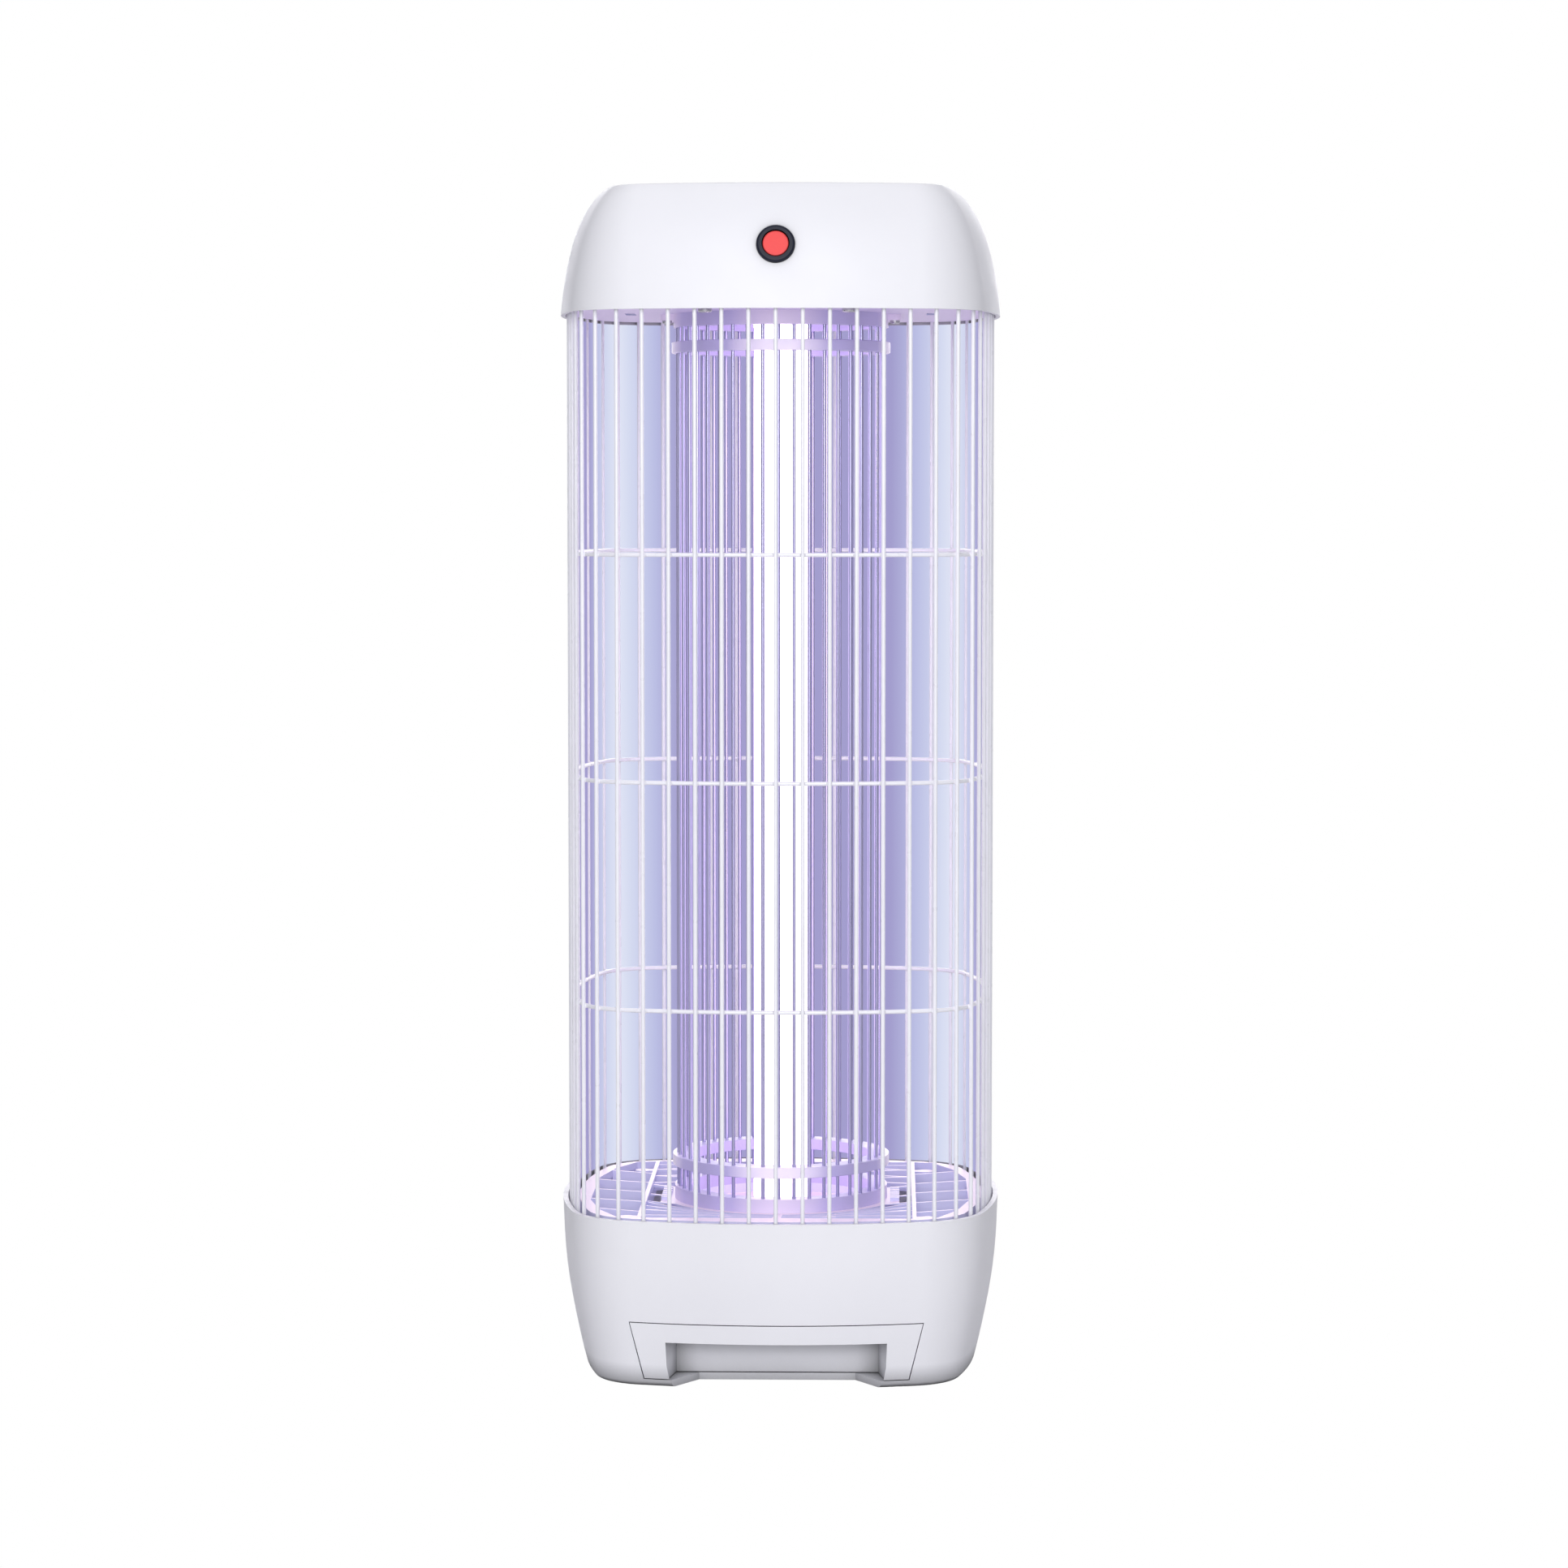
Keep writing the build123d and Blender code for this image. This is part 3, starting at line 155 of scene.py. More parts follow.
class Look:
    """One material under construction: a Principled shader and the nodes that feed it."""

    def __init__(self, name, roughness, metallic=0.0):
        self.material = bpy.data.materials.new(name)
        self.material.use_nodes = True
        self.tree = self.material.node_tree
        self.shader = self.tree.nodes["Principled BSDF"]
        self.output = self.tree.nodes["Material Output"]
        self.set("Metallic", metallic)
        self.set("Roughness", roughness)
        self.place = self.tree.nodes.new("ShaderNodeTexCoord").outputs["Object"]

    def set(self, socket, value):
        self.shader.inputs[socket].default_value = value

    def node(self, kind, **values):
        made = self.tree.nodes.new(kind)
        for key, value in values.items():
            setattr(made, key, value)
        return made

    def link(self, source, target):
        self.tree.links.new(source, target)

    def noise(self, scale, detail=3.0, stretch=None):
        """A noise value from 0 to 1, stretched along an axis where asked."""
        made = self.node("ShaderNodeTexNoise")
        made.inputs["Scale"].default_value = scale
        made.inputs["Detail"].default_value = detail
        place = self.place
        if stretch:
            mapping = self.node("ShaderNodeMapping")
            mapping.inputs["Scale"].default_value = stretch
            self.link(place, mapping.inputs["Vector"])
            place = mapping.outputs["Vector"]
        self.link(place, made.inputs["Vector"])
        return made.outputs["Fac"]

    def ramp(self, value, *stops):
        """Colours along a value from 0 to 1, each stop a position and a colour."""
        made = self.node("ShaderNodeValToRGB")
        elements = made.color_ramp.elements
        while len(elements) < len(stops):
            elements.new(0.5)
        for element, (position, colour) in zip(elements, stops):
            element.position = position
            element.color = (*colour, 1.0)
        self.link(value, made.inputs["Fac"])
        return made.outputs["Color"]

    def spread(self, value, low, high, new_low, new_high):
        """Maps a range of values onto another."""
        made = self.node("ShaderNodeMapRange")
        limits = {"From Min": low, "From Max": high, "To Min": new_low, "To Max": new_high}
        for socket, number in limits.items():
            made.inputs[socket].default_value = number
        self.link(value, made.inputs["Value"])
        return made.outputs["Result"]

    def patches(self, noise, dark, light):
        """Two colours, blended by a noise."""
        return self.ramp(noise, (NOISE_LOW, dark), (NOISE_HIGH, light))

    def gloss(self, noise, low, high):
        """Roughness between two limits, by a noise."""
        roughness = self.spread(noise, NOISE_LOW, NOISE_HIGH, low, high)
        self.link(roughness, self.shader.inputs["Roughness"])

    def grain(self, strength):
        """The fine spark-eroded grain of a mould."""
        self.bump(self.noise(GRAIN_SCALE, 2.0), strength, GRAIN_DEPTH)

    def bump(self, height, strength, distance):
        made = self.node("ShaderNodeBump")
        made.inputs["Strength"].default_value = strength
        made.inputs["Distance"].default_value = distance
        self.link(height, made.inputs["Height"])
        self.link(made.outputs["Normal"], self.shader.inputs["Normal"])

    def painted_crease_shade(self, paint, reach):
        """Darkens a colour with painted shade in gaps and recesses narrower than the reach."""
        made = self.node("ShaderNodeAmbientOcclusion", samples=PAINTED_SHADE_SAMPLES)
        made.inputs["Distance"].default_value = reach
        self.link(paint, made.inputs["Color"])
        return made.outputs["Color"]

    def colour(self, source):
        self.link(source, self.shader.inputs["Base Color"])

    def axis(self, name):
        made = self.node("ShaderNodeSeparateXYZ")
        self.link(self.place, made.inputs["Vector"])
        return made.outputs[name]

    def reach(self, operation):
        """The MAXIMUM or the MINIMUM of the distances along X and along Y from the axis."""
        made = self.node("ShaderNodeMath", operation=operation)
        for index, name in enumerate(("X", "Y")):
            distance = self.node("ShaderNodeMath", operation="ABSOLUTE")
            self.link(self.axis(name), distance.inputs[0])
            self.link(distance.outputs[0], made.inputs[index])
        return made.outputs[0]

    def surface(self, factor, first, second):
        """Makes the surface the first shader where the factor is 0, and the second where it is 1."""
        mix = self.node("ShaderNodeMixShader")
        self.link(factor, mix.inputs["Fac"])
        self.link(first, mix.inputs[1])
        self.link(second, mix.inputs[2])
        self.link(mix.outputs["Shader"], self.output.inputs["Surface"])


def shade(colour, factor):
    return tuple(channel * factor for channel in colour)


def moulded(name, colour, roughness, grain, coat, shine=0.5, painted_shade_reach=0.003):
    """Injection-moulded plastic: faint flow marks, a fine spark-eroded grain, uneven gloss and painted
    shade in its gaps and recesses.
    """
    look = Look(name, roughness)
    flow = look.noise(9.0, 4.0, stretch=(1.0, 1.0, 0.35))
    paint = look.patches(flow, shade(colour, 0.972), shade(colour, 1.012))
    # The colour carries painted shade in gaps and recesses.
    look.colour(look.painted_crease_shade(paint, painted_shade_reach))
    look.gloss(look.noise(60.0), roughness - 0.04, roughness + 0.05)
    look.grain(grain)
    look.set("Coat Weight", coat)
    look.set("Coat Roughness", 0.18)
    look.set("Specular IOR Level", shine)
    return look.material


def enamel(name, colour):
    """Sprayed enamel on wire: glossy, a little uneven and thinner at random spots."""
    look = Look(name, 0.25)
    look.colour(look.ramp(look.noise(45.0, 4.0), (0.25, shade(colour, 0.95)), (0.7, colour)))
    look.gloss(look.noise(160.0), 0.26, 0.38)
    look.bump(look.noise(300.0, 2.0), 0.15, 0.00001)
    look.set("Coat Weight", 0.4)
    look.set("Coat Roughness", 0.1)
    return look.material


def drawn_wire(name, colour, roughness=0.28):
    """Bright drawn wire with lengthwise die marks."""
    look = Look(name, roughness, metallic=0.85)
    marks = look.noise(900.0, 2.0, stretch=(1.0, 1.0, 0.004))
    look.colour(look.patches(marks, shade(colour, 0.86), colour))
    look.gloss(marks, roughness - 0.06, roughness + 0.1)
    look.bump(marks, 0.1, 0.00001)
    return look.material


def plated(name, colour, roughness=0.3):
    """Plated metal: even, with faint clouding and small scratches."""
    look = Look(name, roughness, metallic=1.0)
    look.colour(look.patches(look.noise(160.0, 5.0), shade(colour, 0.85), colour))
    look.gloss(look.noise(500.0, 4.0), roughness - 0.08, roughness + 0.12)
    look.bump(look.noise(1200.0, 2.0), 0.15, 0.00002)
    return look.material


def painted_glow_plastic(name, colour, glow, strength):
    """Plastic close to the lamp, with a painted glow all over standing in for the lamp's light through
    it.
    """
    look = Look(name, 0.35)
    look.colour(look.patches(look.noise(30.0, 4.0), shade(colour, 0.96), colour))
    look.gloss(look.noise(90.0), 0.30, 0.42)
    look.grain(0.12)
    look.set("Emission Color", (*glow, 1.0))
    look.set("Emission Strength", strength)
    return look.material


def painted_glare_plastic(name, dark, pale, strength):
    """Plastic round the lamp with painted glare and glow: painted paler where a ring comes squarely in
    front of the lamp or ends, and its colour painted on as a faint glow.
    """
    look = Look(name, 0.35)
    # Painted glare: paler where the ring comes squarely in front of the lamp or ends.
    painted_glare_mask = look.spread(look.reach("MAXIMUM"), RING_RADIUS * math.sqrt(0.5), RING_RADIUS, 0.0, 1.0)
    paint = look.ramp(painted_glare_mask, (0.0, dark), (0.6, shade(dark, 1.15)), (0.98, pale))
    look.colour(paint)
    # The painted colour, glare included, also glows as painted light.
    look.link(paint, look.shader.inputs["Emission Color"])
    look.set("Emission Strength", strength)
    look.gloss(look.noise(90.0), 0.30, 0.42)
    look.grain(0.12)
    return look.material


def painted_light_rib_plastic(name, painted_lit_colour, painted_shaded_colour, glow, strength):
    """Moulding with painted light: its level faces painted paler than its upright faces, which are
    painted shaded, and a faint painted glow.
    """
    look = Look(name, 0.4)
    # Painted light: level faces get the lit colour, upright faces the shaded one.
    faces = look.node("ShaderNodeSeparateXYZ")
    look.link(look.node("ShaderNodeNewGeometry").outputs["Normal"], faces.inputs["Vector"])
    level = look.node("ShaderNodeMath", operation="ABSOLUTE")
    look.link(faces.outputs["Z"], level.inputs[0])
    mottle = look.node("ShaderNodeMath", operation="MULTIPLY_ADD")
    look.link(look.noise(25.0, 4.0), mottle.inputs[0])
    mottle.inputs[1].default_value = RIB_MOTTLE
    look.link(level.outputs[0], mottle.inputs[2])
    upright, flat = RIB_STOPS
    look.colour(look.ramp(mottle.outputs[0], (upright, painted_shaded_colour), (flat, painted_lit_colour)))
    # The painted glow follows the same painted light and shade.
    glows = look.ramp(mottle.outputs[0], (upright, glow), (flat, painted_lit_colour))
    look.link(glows, look.shader.inputs["Emission Color"])
    look.set("Emission Strength", strength)
    look.grain(0.12)
    return look.material


def lamp_glass(name):
    """A lit phosphor-coated tube: white, a little dimmer and bluer towards its ends."""
    look = Look(name, 0.12)
    look.set("Base Color", (0.9, 0.9, 1.0, 1.0))
    along = look.spread(look.axis("Z"), lamp_low.z, lamp_high.z, 0.0, 1.0)
    end = LAMP_DIM_LENGTH / (lamp_high.z - lamp_low.z)
    light = look.ramp(along, (0.0, LAMP_DIM), (end, LAMP_FULL), (1.0 - end, LAMP_FULL), (1.0, LAMP_DIM))
    look.link(light, look.shader.inputs["Emission Color"])
    look.set("Emission Strength", LAMP_STRENGTH)
    look.set("Coat Weight", 0.6)
    return look.material


def circuit_board(name):
    """Green solder mask over copper tracks, seen as a faint relief."""
    look = Look(name, 0.35)
    tracks = look.node("ShaderNodeTexBrick")
    tracks.inputs["Scale"].default_value = 90.0
    tracks.inputs["Color1"].default_value = (0.020, 0.150, 0.060, 1)
    tracks.inputs["Color2"].default_value = (0.028, 0.190, 0.080, 1)
    tracks.inputs["Mortar"].default_value = (0.012, 0.095, 0.040, 1)
    look.link(look.place, tracks.inputs["Vector"])
    look.colour(tracks.outputs["Color"])
    look.bump(tracks.outputs["Fac"], 0.3, 0.00005)
    look.set("Coat Weight", 0.5)
    return look.material


def winding(name, colour):
    """Enamelled copper wire laid in close turns."""
    look = Look(name, 0.25, metallic=0.9)
    turns = look.node("ShaderNodeTexWave", bands_direction="Z")
    turns.inputs["Scale"].default_value = 520.0
    turns.inputs["Distortion"].default_value = 0.6
    look.link(look.place, turns.inputs["Vector"])
    look.colour(look.ramp(turns.outputs["Fac"], (0.1, shade(colour, 0.35)), (0.7, colour)))
    look.bump(turns.outputs["Fac"], 0.8, 0.0002)
    return look.material


def rubbery(name, colour):
    """Soft insulation: matt with a dusty unevenness."""
    look = Look(name, 0.55)
    look.colour(look.patches(look.noise(240.0, 4.0), shade(colour, 0.8), colour))
    look.bump(look.noise(900.0, 2.0), 0.25, 0.00004)
    return look.material


def clear_glass(name):
    look = Look(name, 0.04)
    look.set("Transmission Weight", 1.0)
    look.set("IOR", 1.5)
    look.colour(look.patches(look.noise(80.0), (0.90, 0.94, 0.95), (0.97, 0.98, 0.98)))
    return look.material


# ================================================================ materials by node
HOOPS = ("guard_hoop_lower", "guard_hoop_middle", "guard_hoop_upper")
SHELL = (0.80, 0.80, 0.845)
# Painted light and shade: the grate's and plate's level-face colours are painted lit, the upright-face
# colour painted shaded, the rib glow painted.
GRATE_PAINTED_LIT = (0.84, 0.70, 0.86)
GRATE_PAINTED_SHADED = (0.60, 0.59, 0.82)
RIB_PAINTED_GLOW = (0.48, 0.46, 0.80)
PLATE_PAINTED_LIT = (0.66, 0.56, 0.82)
GUARD = (0.84, 0.84, 0.90)
WIRE = (0.52, 0.50, 0.74)
# The pale ring and collar colours are painted glare and painted highlights from the lamp.
RING_DARK, RING_PAINTED_GLARE = (0.40, 0.36, 0.60), (0.88, 0.80, 0.95)
COLLAR_DARK, COLLAR_PAINTED_GLARE = (0.43, 0.38, 0.62), (0.76, 0.66, 0.84)
LAMP_FULL, LAMP_DIM = (0.80, 0.72, 1.0), (0.52, 0.46, 0.86)
LAMP_DIM_LENGTH = 0.03        # of each dimmer end
LAMP_STRENGTH = 2.2
RIB_MOTTLE = 0.08             # how much a noise shifts the ribs' colours
RIB_STOPS = (0.25, 0.85)      # where an upright and a level face lie between their two colours
STEEL = (0.62, 0.62, 0.64)
BRASS = (0.72, 0.56, 0.26)

# Each of these gives a list of materials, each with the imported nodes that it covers.


def housing_looks():
    """The shells, the guard cage, and the two mouldings that the lamp lights through."""
    return [
        # The shell's colour carries painted shade up to 11 mm into its recesses and gaps.
        (moulded("shell_plastic", SHELL, 0.44, grain=0.2, coat=0.0, painted_shade_reach=0.011),
         ["base_shell", "cap_shell", "insect_drawer"]),
        (enamel("guard_enamel", GUARD),
         ["guard_wires", "guard_hoop_base", *HOOPS, "guard_hoop_cap"]),
        # The grate and the floor plate carry painted light on level faces and a painted glow.
        (painted_light_rib_plastic("grate_plastic", GRATE_PAINTED_LIT, GRATE_PAINTED_SHADED, RIB_PAINTED_GLOW, 0.12), ["base_grate"]),
        (painted_light_rib_plastic("plate_plastic", PLATE_PAINTED_LIT, GRATE_PAINTED_SHADED, RIB_PAINTED_GLOW, 0.10),
         ["cap_floor_plate"]),
        (rubbery("gland_plastic", (0.62, 0.62, 0.64)), ["cable_gland", "gland_nut"]),
    ]


def lamp_looks():
    """The lamp, and the rods, rings and collars of the grid round it."""
    return [
        (drawn_wire("grid_wire", WIRE), ["grid_rods_live", "grid_rods_return"]),
        (painted_glare_plastic("ring_plastic", RING_DARK, RING_PAINTED_GLARE, 0.16),
         ["grid_ring_lower", "grid_ring_upper"]),
        (painted_glare_plastic("collar_plastic", COLLAR_DARK, COLLAR_PAINTED_GLARE, 0.16),
         ["grid_collar_lower", "grid_collar_upper"]),
        # The lamp's end caps carry a painted glow.
        (painted_glow_plastic("lamp_cap_white", (0.90, 0.88, 0.95), (1.0, 0.96, 1.0), 0.7),
         ["lamp_end_cap_lower", "lamp_end_cap_upper"]),
        (lamp_glass("lamp_glow"), ["lamp_tube"]),
        (clear_glass("electrode_glass"), ["lamp_electrode_lower", "lamp_electrode_upper"]),
    ]


def metal_looks():
    """The screws and other small metal parts."""
    return [
        (plated("screw_steel", STEEL),
         ["live_bus_ring", "return_bus_ring", "switch_spring", "grate_screws", "plate_screws",
          "holder_screws", "board_screws", "collar_screws"]),
        (plated("terminal_brass", BRASS),
         ["lamp_pins_lower", "lamp_pins_upper", "switch_terminals", "terminal_clamps", "fuse_ends"]),
    ]


def switch_looks():
    return [
        (moulded("bezel_black", (0.008, 0.010, 0.024), 0.35, grain=0.05, coat=0.0, shine=0.25),
         ["switch_housing"]),
        (moulded("button_red", (0.84, 0.070, 0.070), 0.4, grain=0.05, coat=0.0, shine=0.3),
         ["switch_button"]),
    ]


def electronics_looks():
    """What stands inside the cap, the lampholders, and the leads between them."""
    return [
        (moulded("holder_plastic", (0.78, 0.77, 0.72), 0.45, grain=0.4, coat=0.0),
         ["terminal_block", "lampholder_lower", "lampholder_upper"]),
        (moulded("component_black", (0.025, 0.025, 0.028), 0.45, grain=0.5, coat=0.0),
         ["ballast_transistors", "multiplier_diodes", "switch_nut", "switch_contacts"]),
        (circuit_board("board_green"), ["ballast_board", "multiplier_board"]),
        (rubbery("ferrite", (0.035, 0.035, 0.038)), ["choke_core"]),
        (winding("copper_winding", (0.72, 0.30, 0.12)), ["choke_winding"]),
        (moulded("capacitor_sleeve", (0.02, 0.03, 0.11), 0.25, grain=0.1, coat=0.4),
         ["ballast_capacitor"]),
        (moulded("film_capacitor", (0.50, 0.07, 0.025), 0.25, grain=0.2, coat=0.5),
         ["multiplier_capacitors"]),
        (moulded("resistor_lacquer", (0.40, 0.28, 0.14), 0.4, grain=0.3, coat=0.1),
         ["discharge_resistors"]),
        (clear_glass("fuse_clear"), ["fuse_glass"]),
        (rubbery("lead_pale", (0.68, 0.68, 0.70)), ["switch_leads", "lamp_leads"]),
        (rubbery("lead_dark", (0.05, 0.05, 0.06)), ["board_leads", "grid_leads"]),
    ]


def dress_nodes():
    for looks in (housing_looks, lamp_looks, metal_looks, switch_looks, electronics_looks):
        for material, names in looks():
            for name in names:
                NODES[name].data.materials.clear()
                NODES[name].data.materials.append(material)


# ================================================================ finer pieces
GUARD_WIRES = 56
WELD_RADIUS = 0.00135         # of the bead where an upright wire meets a hoop
WELD_DEPTH = 0.75             # its radius towards the hoop, as a share
HOOP_INSET = 0.0019           # from the wires' centre lines to a hoop's
WELD_OUTLINE_STEPS = 40


def along_outline(half, count):
    """Evenly spaced places along the plan outline, from the front centre, and the ways outward."""
    outline = [Vector((x, y, 0)) for x, y in rounded_square(half, WELD_OUTLINE_STEPS)]
    start = min(range(len(outline)), key=lambda i: (outline[i].y > 0, abs(outline[i].x)))
    outline = outline[start:] + outline[:start + 1]
    runs = [(b - a).length for a, b in zip(outline, outline[1:])]
    spacing = sum(runs) / count
    places = []
    passed = 0.0
    for a, b, run in zip(outline, outline[1:], runs):
        while len(places) < count and len(places) * spacing < passed + run:
            share = (len(places) * spacing - passed) / run
            outward = (b - a).cross(Vector((0, 0, 1))).normalized()
            places.append((a.lerp(b, share), outward))
        passed += run
    return places


def guard_welds():
    """The small resistance-weld beads that join the upright wires to each hoop."""
    seed = bpy.data.meshes.new("weld_seed")
    bead = bmesh.new()
    bmesh.ops.create_icosphere(bead, subdivisions=2, radius=1.0)
    bead.to_mesh(seed)
    bead.free()
    points, faces = [], []
    for hoop in HOOPS:
        low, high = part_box(hoop)
        z = (low.z + high.z) / 2
        for place, outward in along_outline(GUARD_HALF - HOOP_INSET / 2, GUARD_WIRES):
            first = len(points)
            side = outward.cross(Vector((0, 0, 1)))
            for vertex in seed.vertices:
                x, y, rise = vertex.co * WELD_RADIUS
                points.append(place + outward * x * WELD_DEPTH + side * y + Vector((0, 0, z + rise)))
            faces += [[first + i for i in face.vertices] for face in seed.polygons]
    mesh = bpy.data.meshes.new("guard_welds")
    mesh.from_pydata(points, [], faces)
    mesh.shade_smooth()
    mesh.materials.append(enamel("weld_enamel", GUARD))
    made = bpy.data.objects.new("guard_welds", mesh)
    bpy.context.collection.objects.link(made)
    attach(made, "housing")


SPRING_RADIUS = 0.0044        # of the coil's centre line
SPRING_WIRE = 0.00035
SPRING_TURNS = 4.5
SPRING_FREE = 0.0072          # between the centres of its end turns
SPRING_FLAT = 0.75            # turns at each end that lie almost flat
SPRING_FLAT_RISE = 0.06       # share of the height that climbs evenly over all the turns
STEPS_PER_TURN = 24


def spring_height(turn):
    """How far along the spring a turn has climbed, from 0 to 1: its end turns climb slowly."""
    reach = SPRING_TURNS - SPRING_FLAT
    eased = min(max((turn - SPRING_FLAT / 2) / reach, 0.0), 1.0)
    return (1 - SPRING_FLAT_RISE) * eased + SPRING_FLAT_RISE * turn / SPRING_TURNS


def spring_points(outer, inward):
    """The coil's centre line, from its outer end inwards."""
    sideways = Vector((1, 0, 0))
    across = inward.cross(sideways).normalized()
    points = []
    for i in range(int(SPRING_TURNS * STEPS_PER_TURN) + 1):
        turn = i / STEPS_PER_TURN
        angle = 2 * math.pi * turn
        off_axis = (sideways * math.cos(angle) + across * math.sin(angle)) * SPRING_RADIUS
        points.append(outer + inward * SPRING_FREE * spring_height(turn) + off_axis)
    return points


def wire_mesh(name, points, radius):
    """A mesh of round wire along some points."""
    data = bpy.data.curves.new(name, "CURVE")
    data.dimensions = "3D"
    data.bevel_depth = radius
    data.bevel_resolution = 3
    data.use_fill_caps = True
    line = data.splines.new("POLY")
    line.points.add(len(points) - 1)
    for end, point in zip(line.points, points):
        end.co = (*point, 1)
    wire = bpy.data.objects.new(name, data)
    bpy.context.collection.objects.link(wire)
    mesh = bpy.data.meshes.new_from_object(wire)
    bpy.data.objects.remove(wire)
    mesh.shade_smooth()
    mesh.materials.clear()
    return mesh


def button_spring():
    """The coil spring behind the push button."""
    joints = {joint["name"]: joint for joint in frame["record"]["behaviour"]["joints"]}
    press = joints["switch_press"]
    inward = Vector(press["axis"])
    low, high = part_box("switch_spring")
    outer = (low + high) / 2 - inward * SPRING_FREE / 2
    mesh = wire_mesh("spring_line", spring_points(outer, inward), SPRING_WIRE)
    mesh.materials.append(drawn_wire("spring_steel", STEEL))
    made = bpy.data.objects.new("button_spring", mesh)
    bpy.context.collection.objects.link(made)
    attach(made, "housing")
    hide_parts("switch_spring")
    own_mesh(made)


# ================================================================ light
WHITE = (1, 1, 1)
RIM_COLOUR = (0.93, 0.92, 1.0)
WORLD_LIGHT = 0.43
WORLD_COLOUR = (0.96, 0.96, 1.0)

# A broad light in front, two narrow ones far behind for the silhouettes, and softer ones behind
# and above. Each has its name, its place, its width and height, its watts and its colour.
SOFTBOXES = [
    ("front_light", (0, -2.6, 1.15), (1.9, 1.7), 47.0, WHITE),
    ("rim_light_-1", (-1.0, 2.4, 0.5), (0.7, 1.8), 5.0, RIM_COLOUR),
    ("rim_light_1", (1.0, 2.4, 0.5), (0.7, 1.8), 5.0, RIM_COLOUR),
    ("back_light", (0, 2.6, 1.15), (1.7, 1.5), 24.0, WHITE),
    ("top_light", (0, 0.2, 2.2), (1.4, 1.4), 7.0, WHITE),
]


def studio_lights():
    """The softboxes, all aimed at the middle of the object."""
    for name, place, size, power, colour in SOFTBOXES:
        data = bpy.data.lights.new(name, "AREA")
        data.shape = "RECTANGLE"
        data.size, data.size_y = size
        data.energy = power
        data.color = colour
        light = bpy.data.objects.new(name, data)
        bpy.context.collection.objects.link(light)
        light.location = place
        light.rotation_euler = (Vector(HEART) - Vector(place)).to_track_quat("-Z", "Y").to_euler()


def studio_world():
    """Even pale light from all round, which the camera sees as plain white."""
    world = bpy.data.worlds.new("studio")
    world.use_nodes = True
    bpy.context.scene.world = world
    tree = world.node_tree
    lit = tree.nodes["Background"]
    lit.inputs["Color"].default_value = (*WORLD_COLOUR, 1)
    lit.inputs["Strength"].default_value = WORLD_LIGHT
    seen = tree.nodes.new("ShaderNodeBackground")
    seen.inputs["Color"].default_value = (1, 1, 1, 1)
    path = tree.nodes.new("ShaderNodeLightPath")
    mix = tree.nodes.new("ShaderNodeMixShader")
    tree.links.new(path.outputs["Is Camera Ray"], mix.inputs["Fac"])
    tree.links.new(lit.outputs["Background"], mix.inputs[1])
    tree.links.new(seen.outputs["Background"], mix.inputs[2])
    tree.links.new(mix.outputs["Shader"], tree.nodes["World Output"].inputs["Surface"])


# ================================================================ stage
FLOOR_HALF = 2.4
LAMP_CAST = (1.0, 0.80, 1.0)
LAMP_CAST_STRENGTH = 3.6
LAMP_CAST_GAP = 0.0006        # between the tube and the surface that casts its light
LAMP_CAST_STEPS = 32
HAZE_OUTLINE_STEPS = 12
FLAG_X = 0.9                  # of the grey panels, from the object's axis
FLAG_HALF, FLAG_HEIGHT = 0.55, 1.5
FLAG_GREY = (0.42, 0.42, 0.43)

# The violet haze that the lamp leaves in the air is painted as a glow seen against the far side of the
# cage: the distance from the middle of that side, in metres, and the colour painted there.
PAINTED_HAZE_STOPS = [
    (0.000, (0.367, 0.342, 0.617)),
    (0.054, (0.367, 0.342, 0.617)),
    (0.067, (0.500, 0.520, 0.780)),
    (0.080, (0.670, 0.710, 0.880)),
    (0.092, (0.860, 0.880, 0.965)),
]


def stage_object(name, points, faces, material):
    mesh = bpy.data.meshes.new(name)
    mesh.from_pydata(points, [], faces)
    mesh.materials.append(material)
    made = bpy.data.objects.new(name, mesh)
    bpy.context.collection.objects.link(made)
    return made


def floor_material():
    """A pale sweep: white to the camera, and it throws back a softer light onto the object."""
    look = Look("studio_floor", 0.6)
    look.colour(look.patches(look.noise(3.0), (0.70, 0.70, 0.71), (0.73, 0.73, 0.74)))
    bright = look.node("ShaderNodeEmission")
    path = look.node("ShaderNodeLightPath")
    look.surface(path.outputs["Is Camera Ray"], look.shader.outputs["BSDF"],
                 bright.outputs["Emission"])
    return look.material


def painted_haze_material():
    """A painted glow of the lamp's haze, seen only from inside the cage, so every view looks through
    the near side.
    """
    look = Look("painted_lamp_haze", 1.0)
    widest = PAINTED_HAZE_STOPS[-1][0]
    position = look.spread(look.reach("MINIMUM"), 0.0, widest, 0.0, 1.0)
    haze = look.ramp(position, *[(half / widest, colour) for half, colour in PAINTED_HAZE_STOPS])
    glow = look.node("ShaderNodeEmission")
    look.link(haze, glow.inputs["Color"])
    clear = look.node("ShaderNodeBsdfTransparent")
    side = look.node("ShaderNodeNewGeometry")
    look.surface(side.outputs["Backfacing"], clear.outputs["BSDF"], glow.outputs["Emission"])
    return look.material


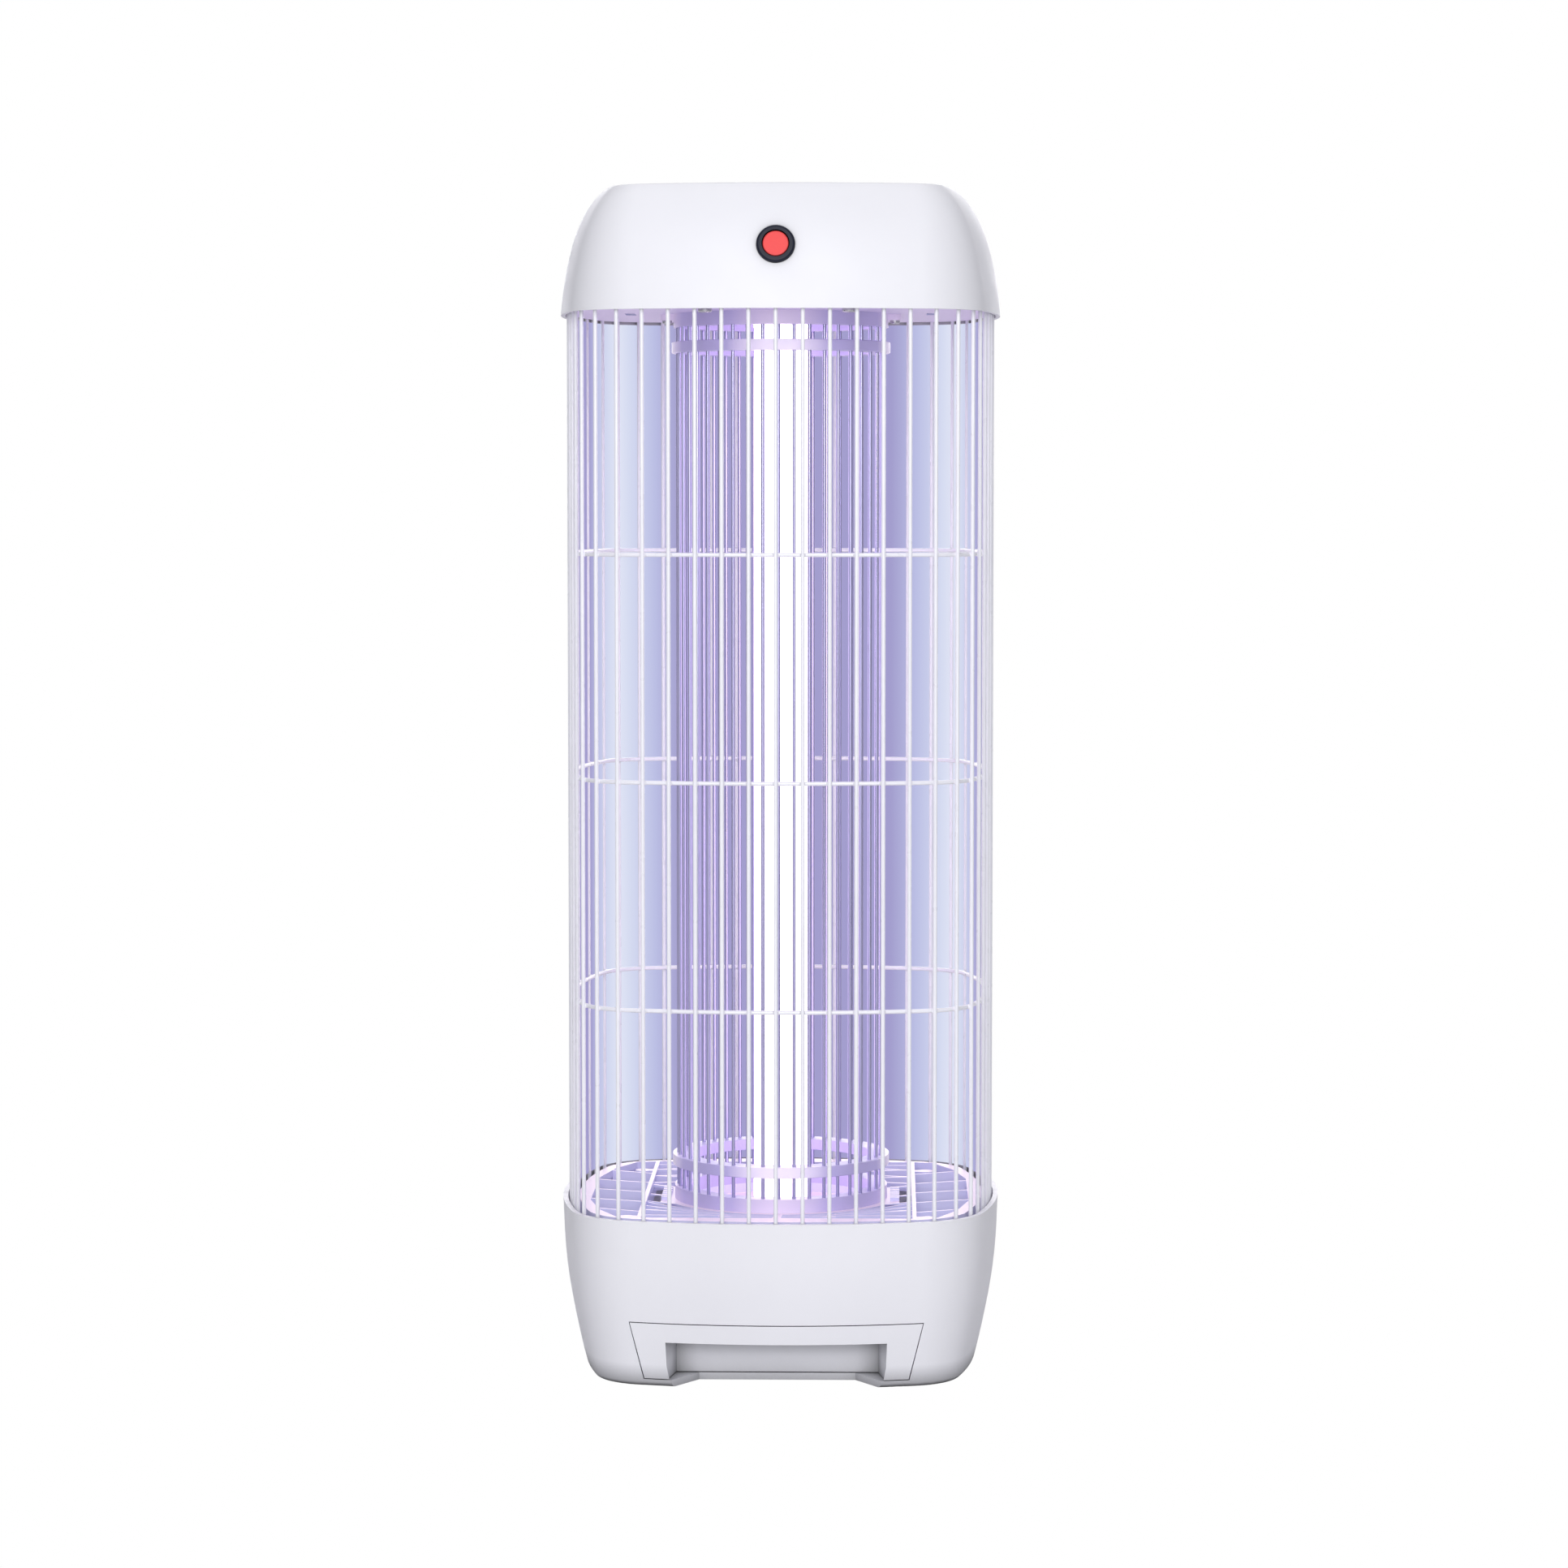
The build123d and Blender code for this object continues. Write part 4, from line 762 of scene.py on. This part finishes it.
def cast_material():
    """What reaches the other pieces from the lamp is stronger and pinker than the tube looks."""
    look = Look("lamp_cast", 1.0)
    look.set("Base Color", (0, 0, 0, 1))
    look.set("Emission Color", (*LAMP_CAST, 1.0))
    look.set("Emission Strength", LAMP_CAST_STRENGTH)
    return look.material


def flag_material(side):
    """Grey cloth: the panels beside the object leave soft grey bands on its corners."""
    look = Look(f"flag_cloth_{side}", 0.9)
    look.colour(look.patches(look.noise(12.0), shade(FLAG_GREY, 0.9), FLAG_GREY))
    return look.material


def make_floor():
    half = FLOOR_HALF
    corners = [(-half, -half, 0), (half, -half, 0), (half, half, 0), (-half, half, 0)]
    stage_object("studio_floor", corners, [(0, 1, 2, 3)], floor_material())


def make_painted_haze():
    """A tube through the guard wires' centre lines, painted with the lamp's haze as a glow. It neither
    lights nor shades other pieces.
    """
    low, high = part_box("base_shell")[1].z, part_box("cap_shell")[0].z
    outline = rounded_square(GUARD_HALF, HAZE_OUTLINE_STEPS)
    haze = stage_object("painted_lamp_haze", *tube(outline, low, high), painted_haze_material())
    haze.visible_glossy = False
    haze.visible_diffuse = False
    haze.visible_shadow = False


def make_lamp_cast():
    """A tube just outside the lamp's, which the camera doesn't see."""
    outline = circle(lamp_high.x + LAMP_CAST_GAP, LAMP_CAST_STEPS)
    points, faces = tube(outline, lamp_low.z, lamp_high.z)
    cast = stage_object("lamp_cast", points, faces, cast_material())
    cast.visible_camera = False


def make_flags():
    """A grey panel on each side of the object, which the camera doesn't see."""
    for side in (-1, 1):
        x = side * FLAG_X
        corners = [(x, -FLAG_HALF, 0), (x, FLAG_HALF, 0), (x, FLAG_HALF, FLAG_HEIGHT),
                   (x, -FLAG_HALF, FLAG_HEIGHT)]
        flag = stage_object(f"studio_flag_{side}", corners, [(0, 1, 2, 3)], flag_material(side))
        flag.visible_camera = False


# ================================================================ the scene
bpy.context.scene.view_settings.view_transform = "Standard"
make_camera()
dress_nodes()
guard_welds()
button_spring()
studio_lights()
studio_world()
make_floor()
make_painted_haze()
make_lamp_cast()
make_flags()
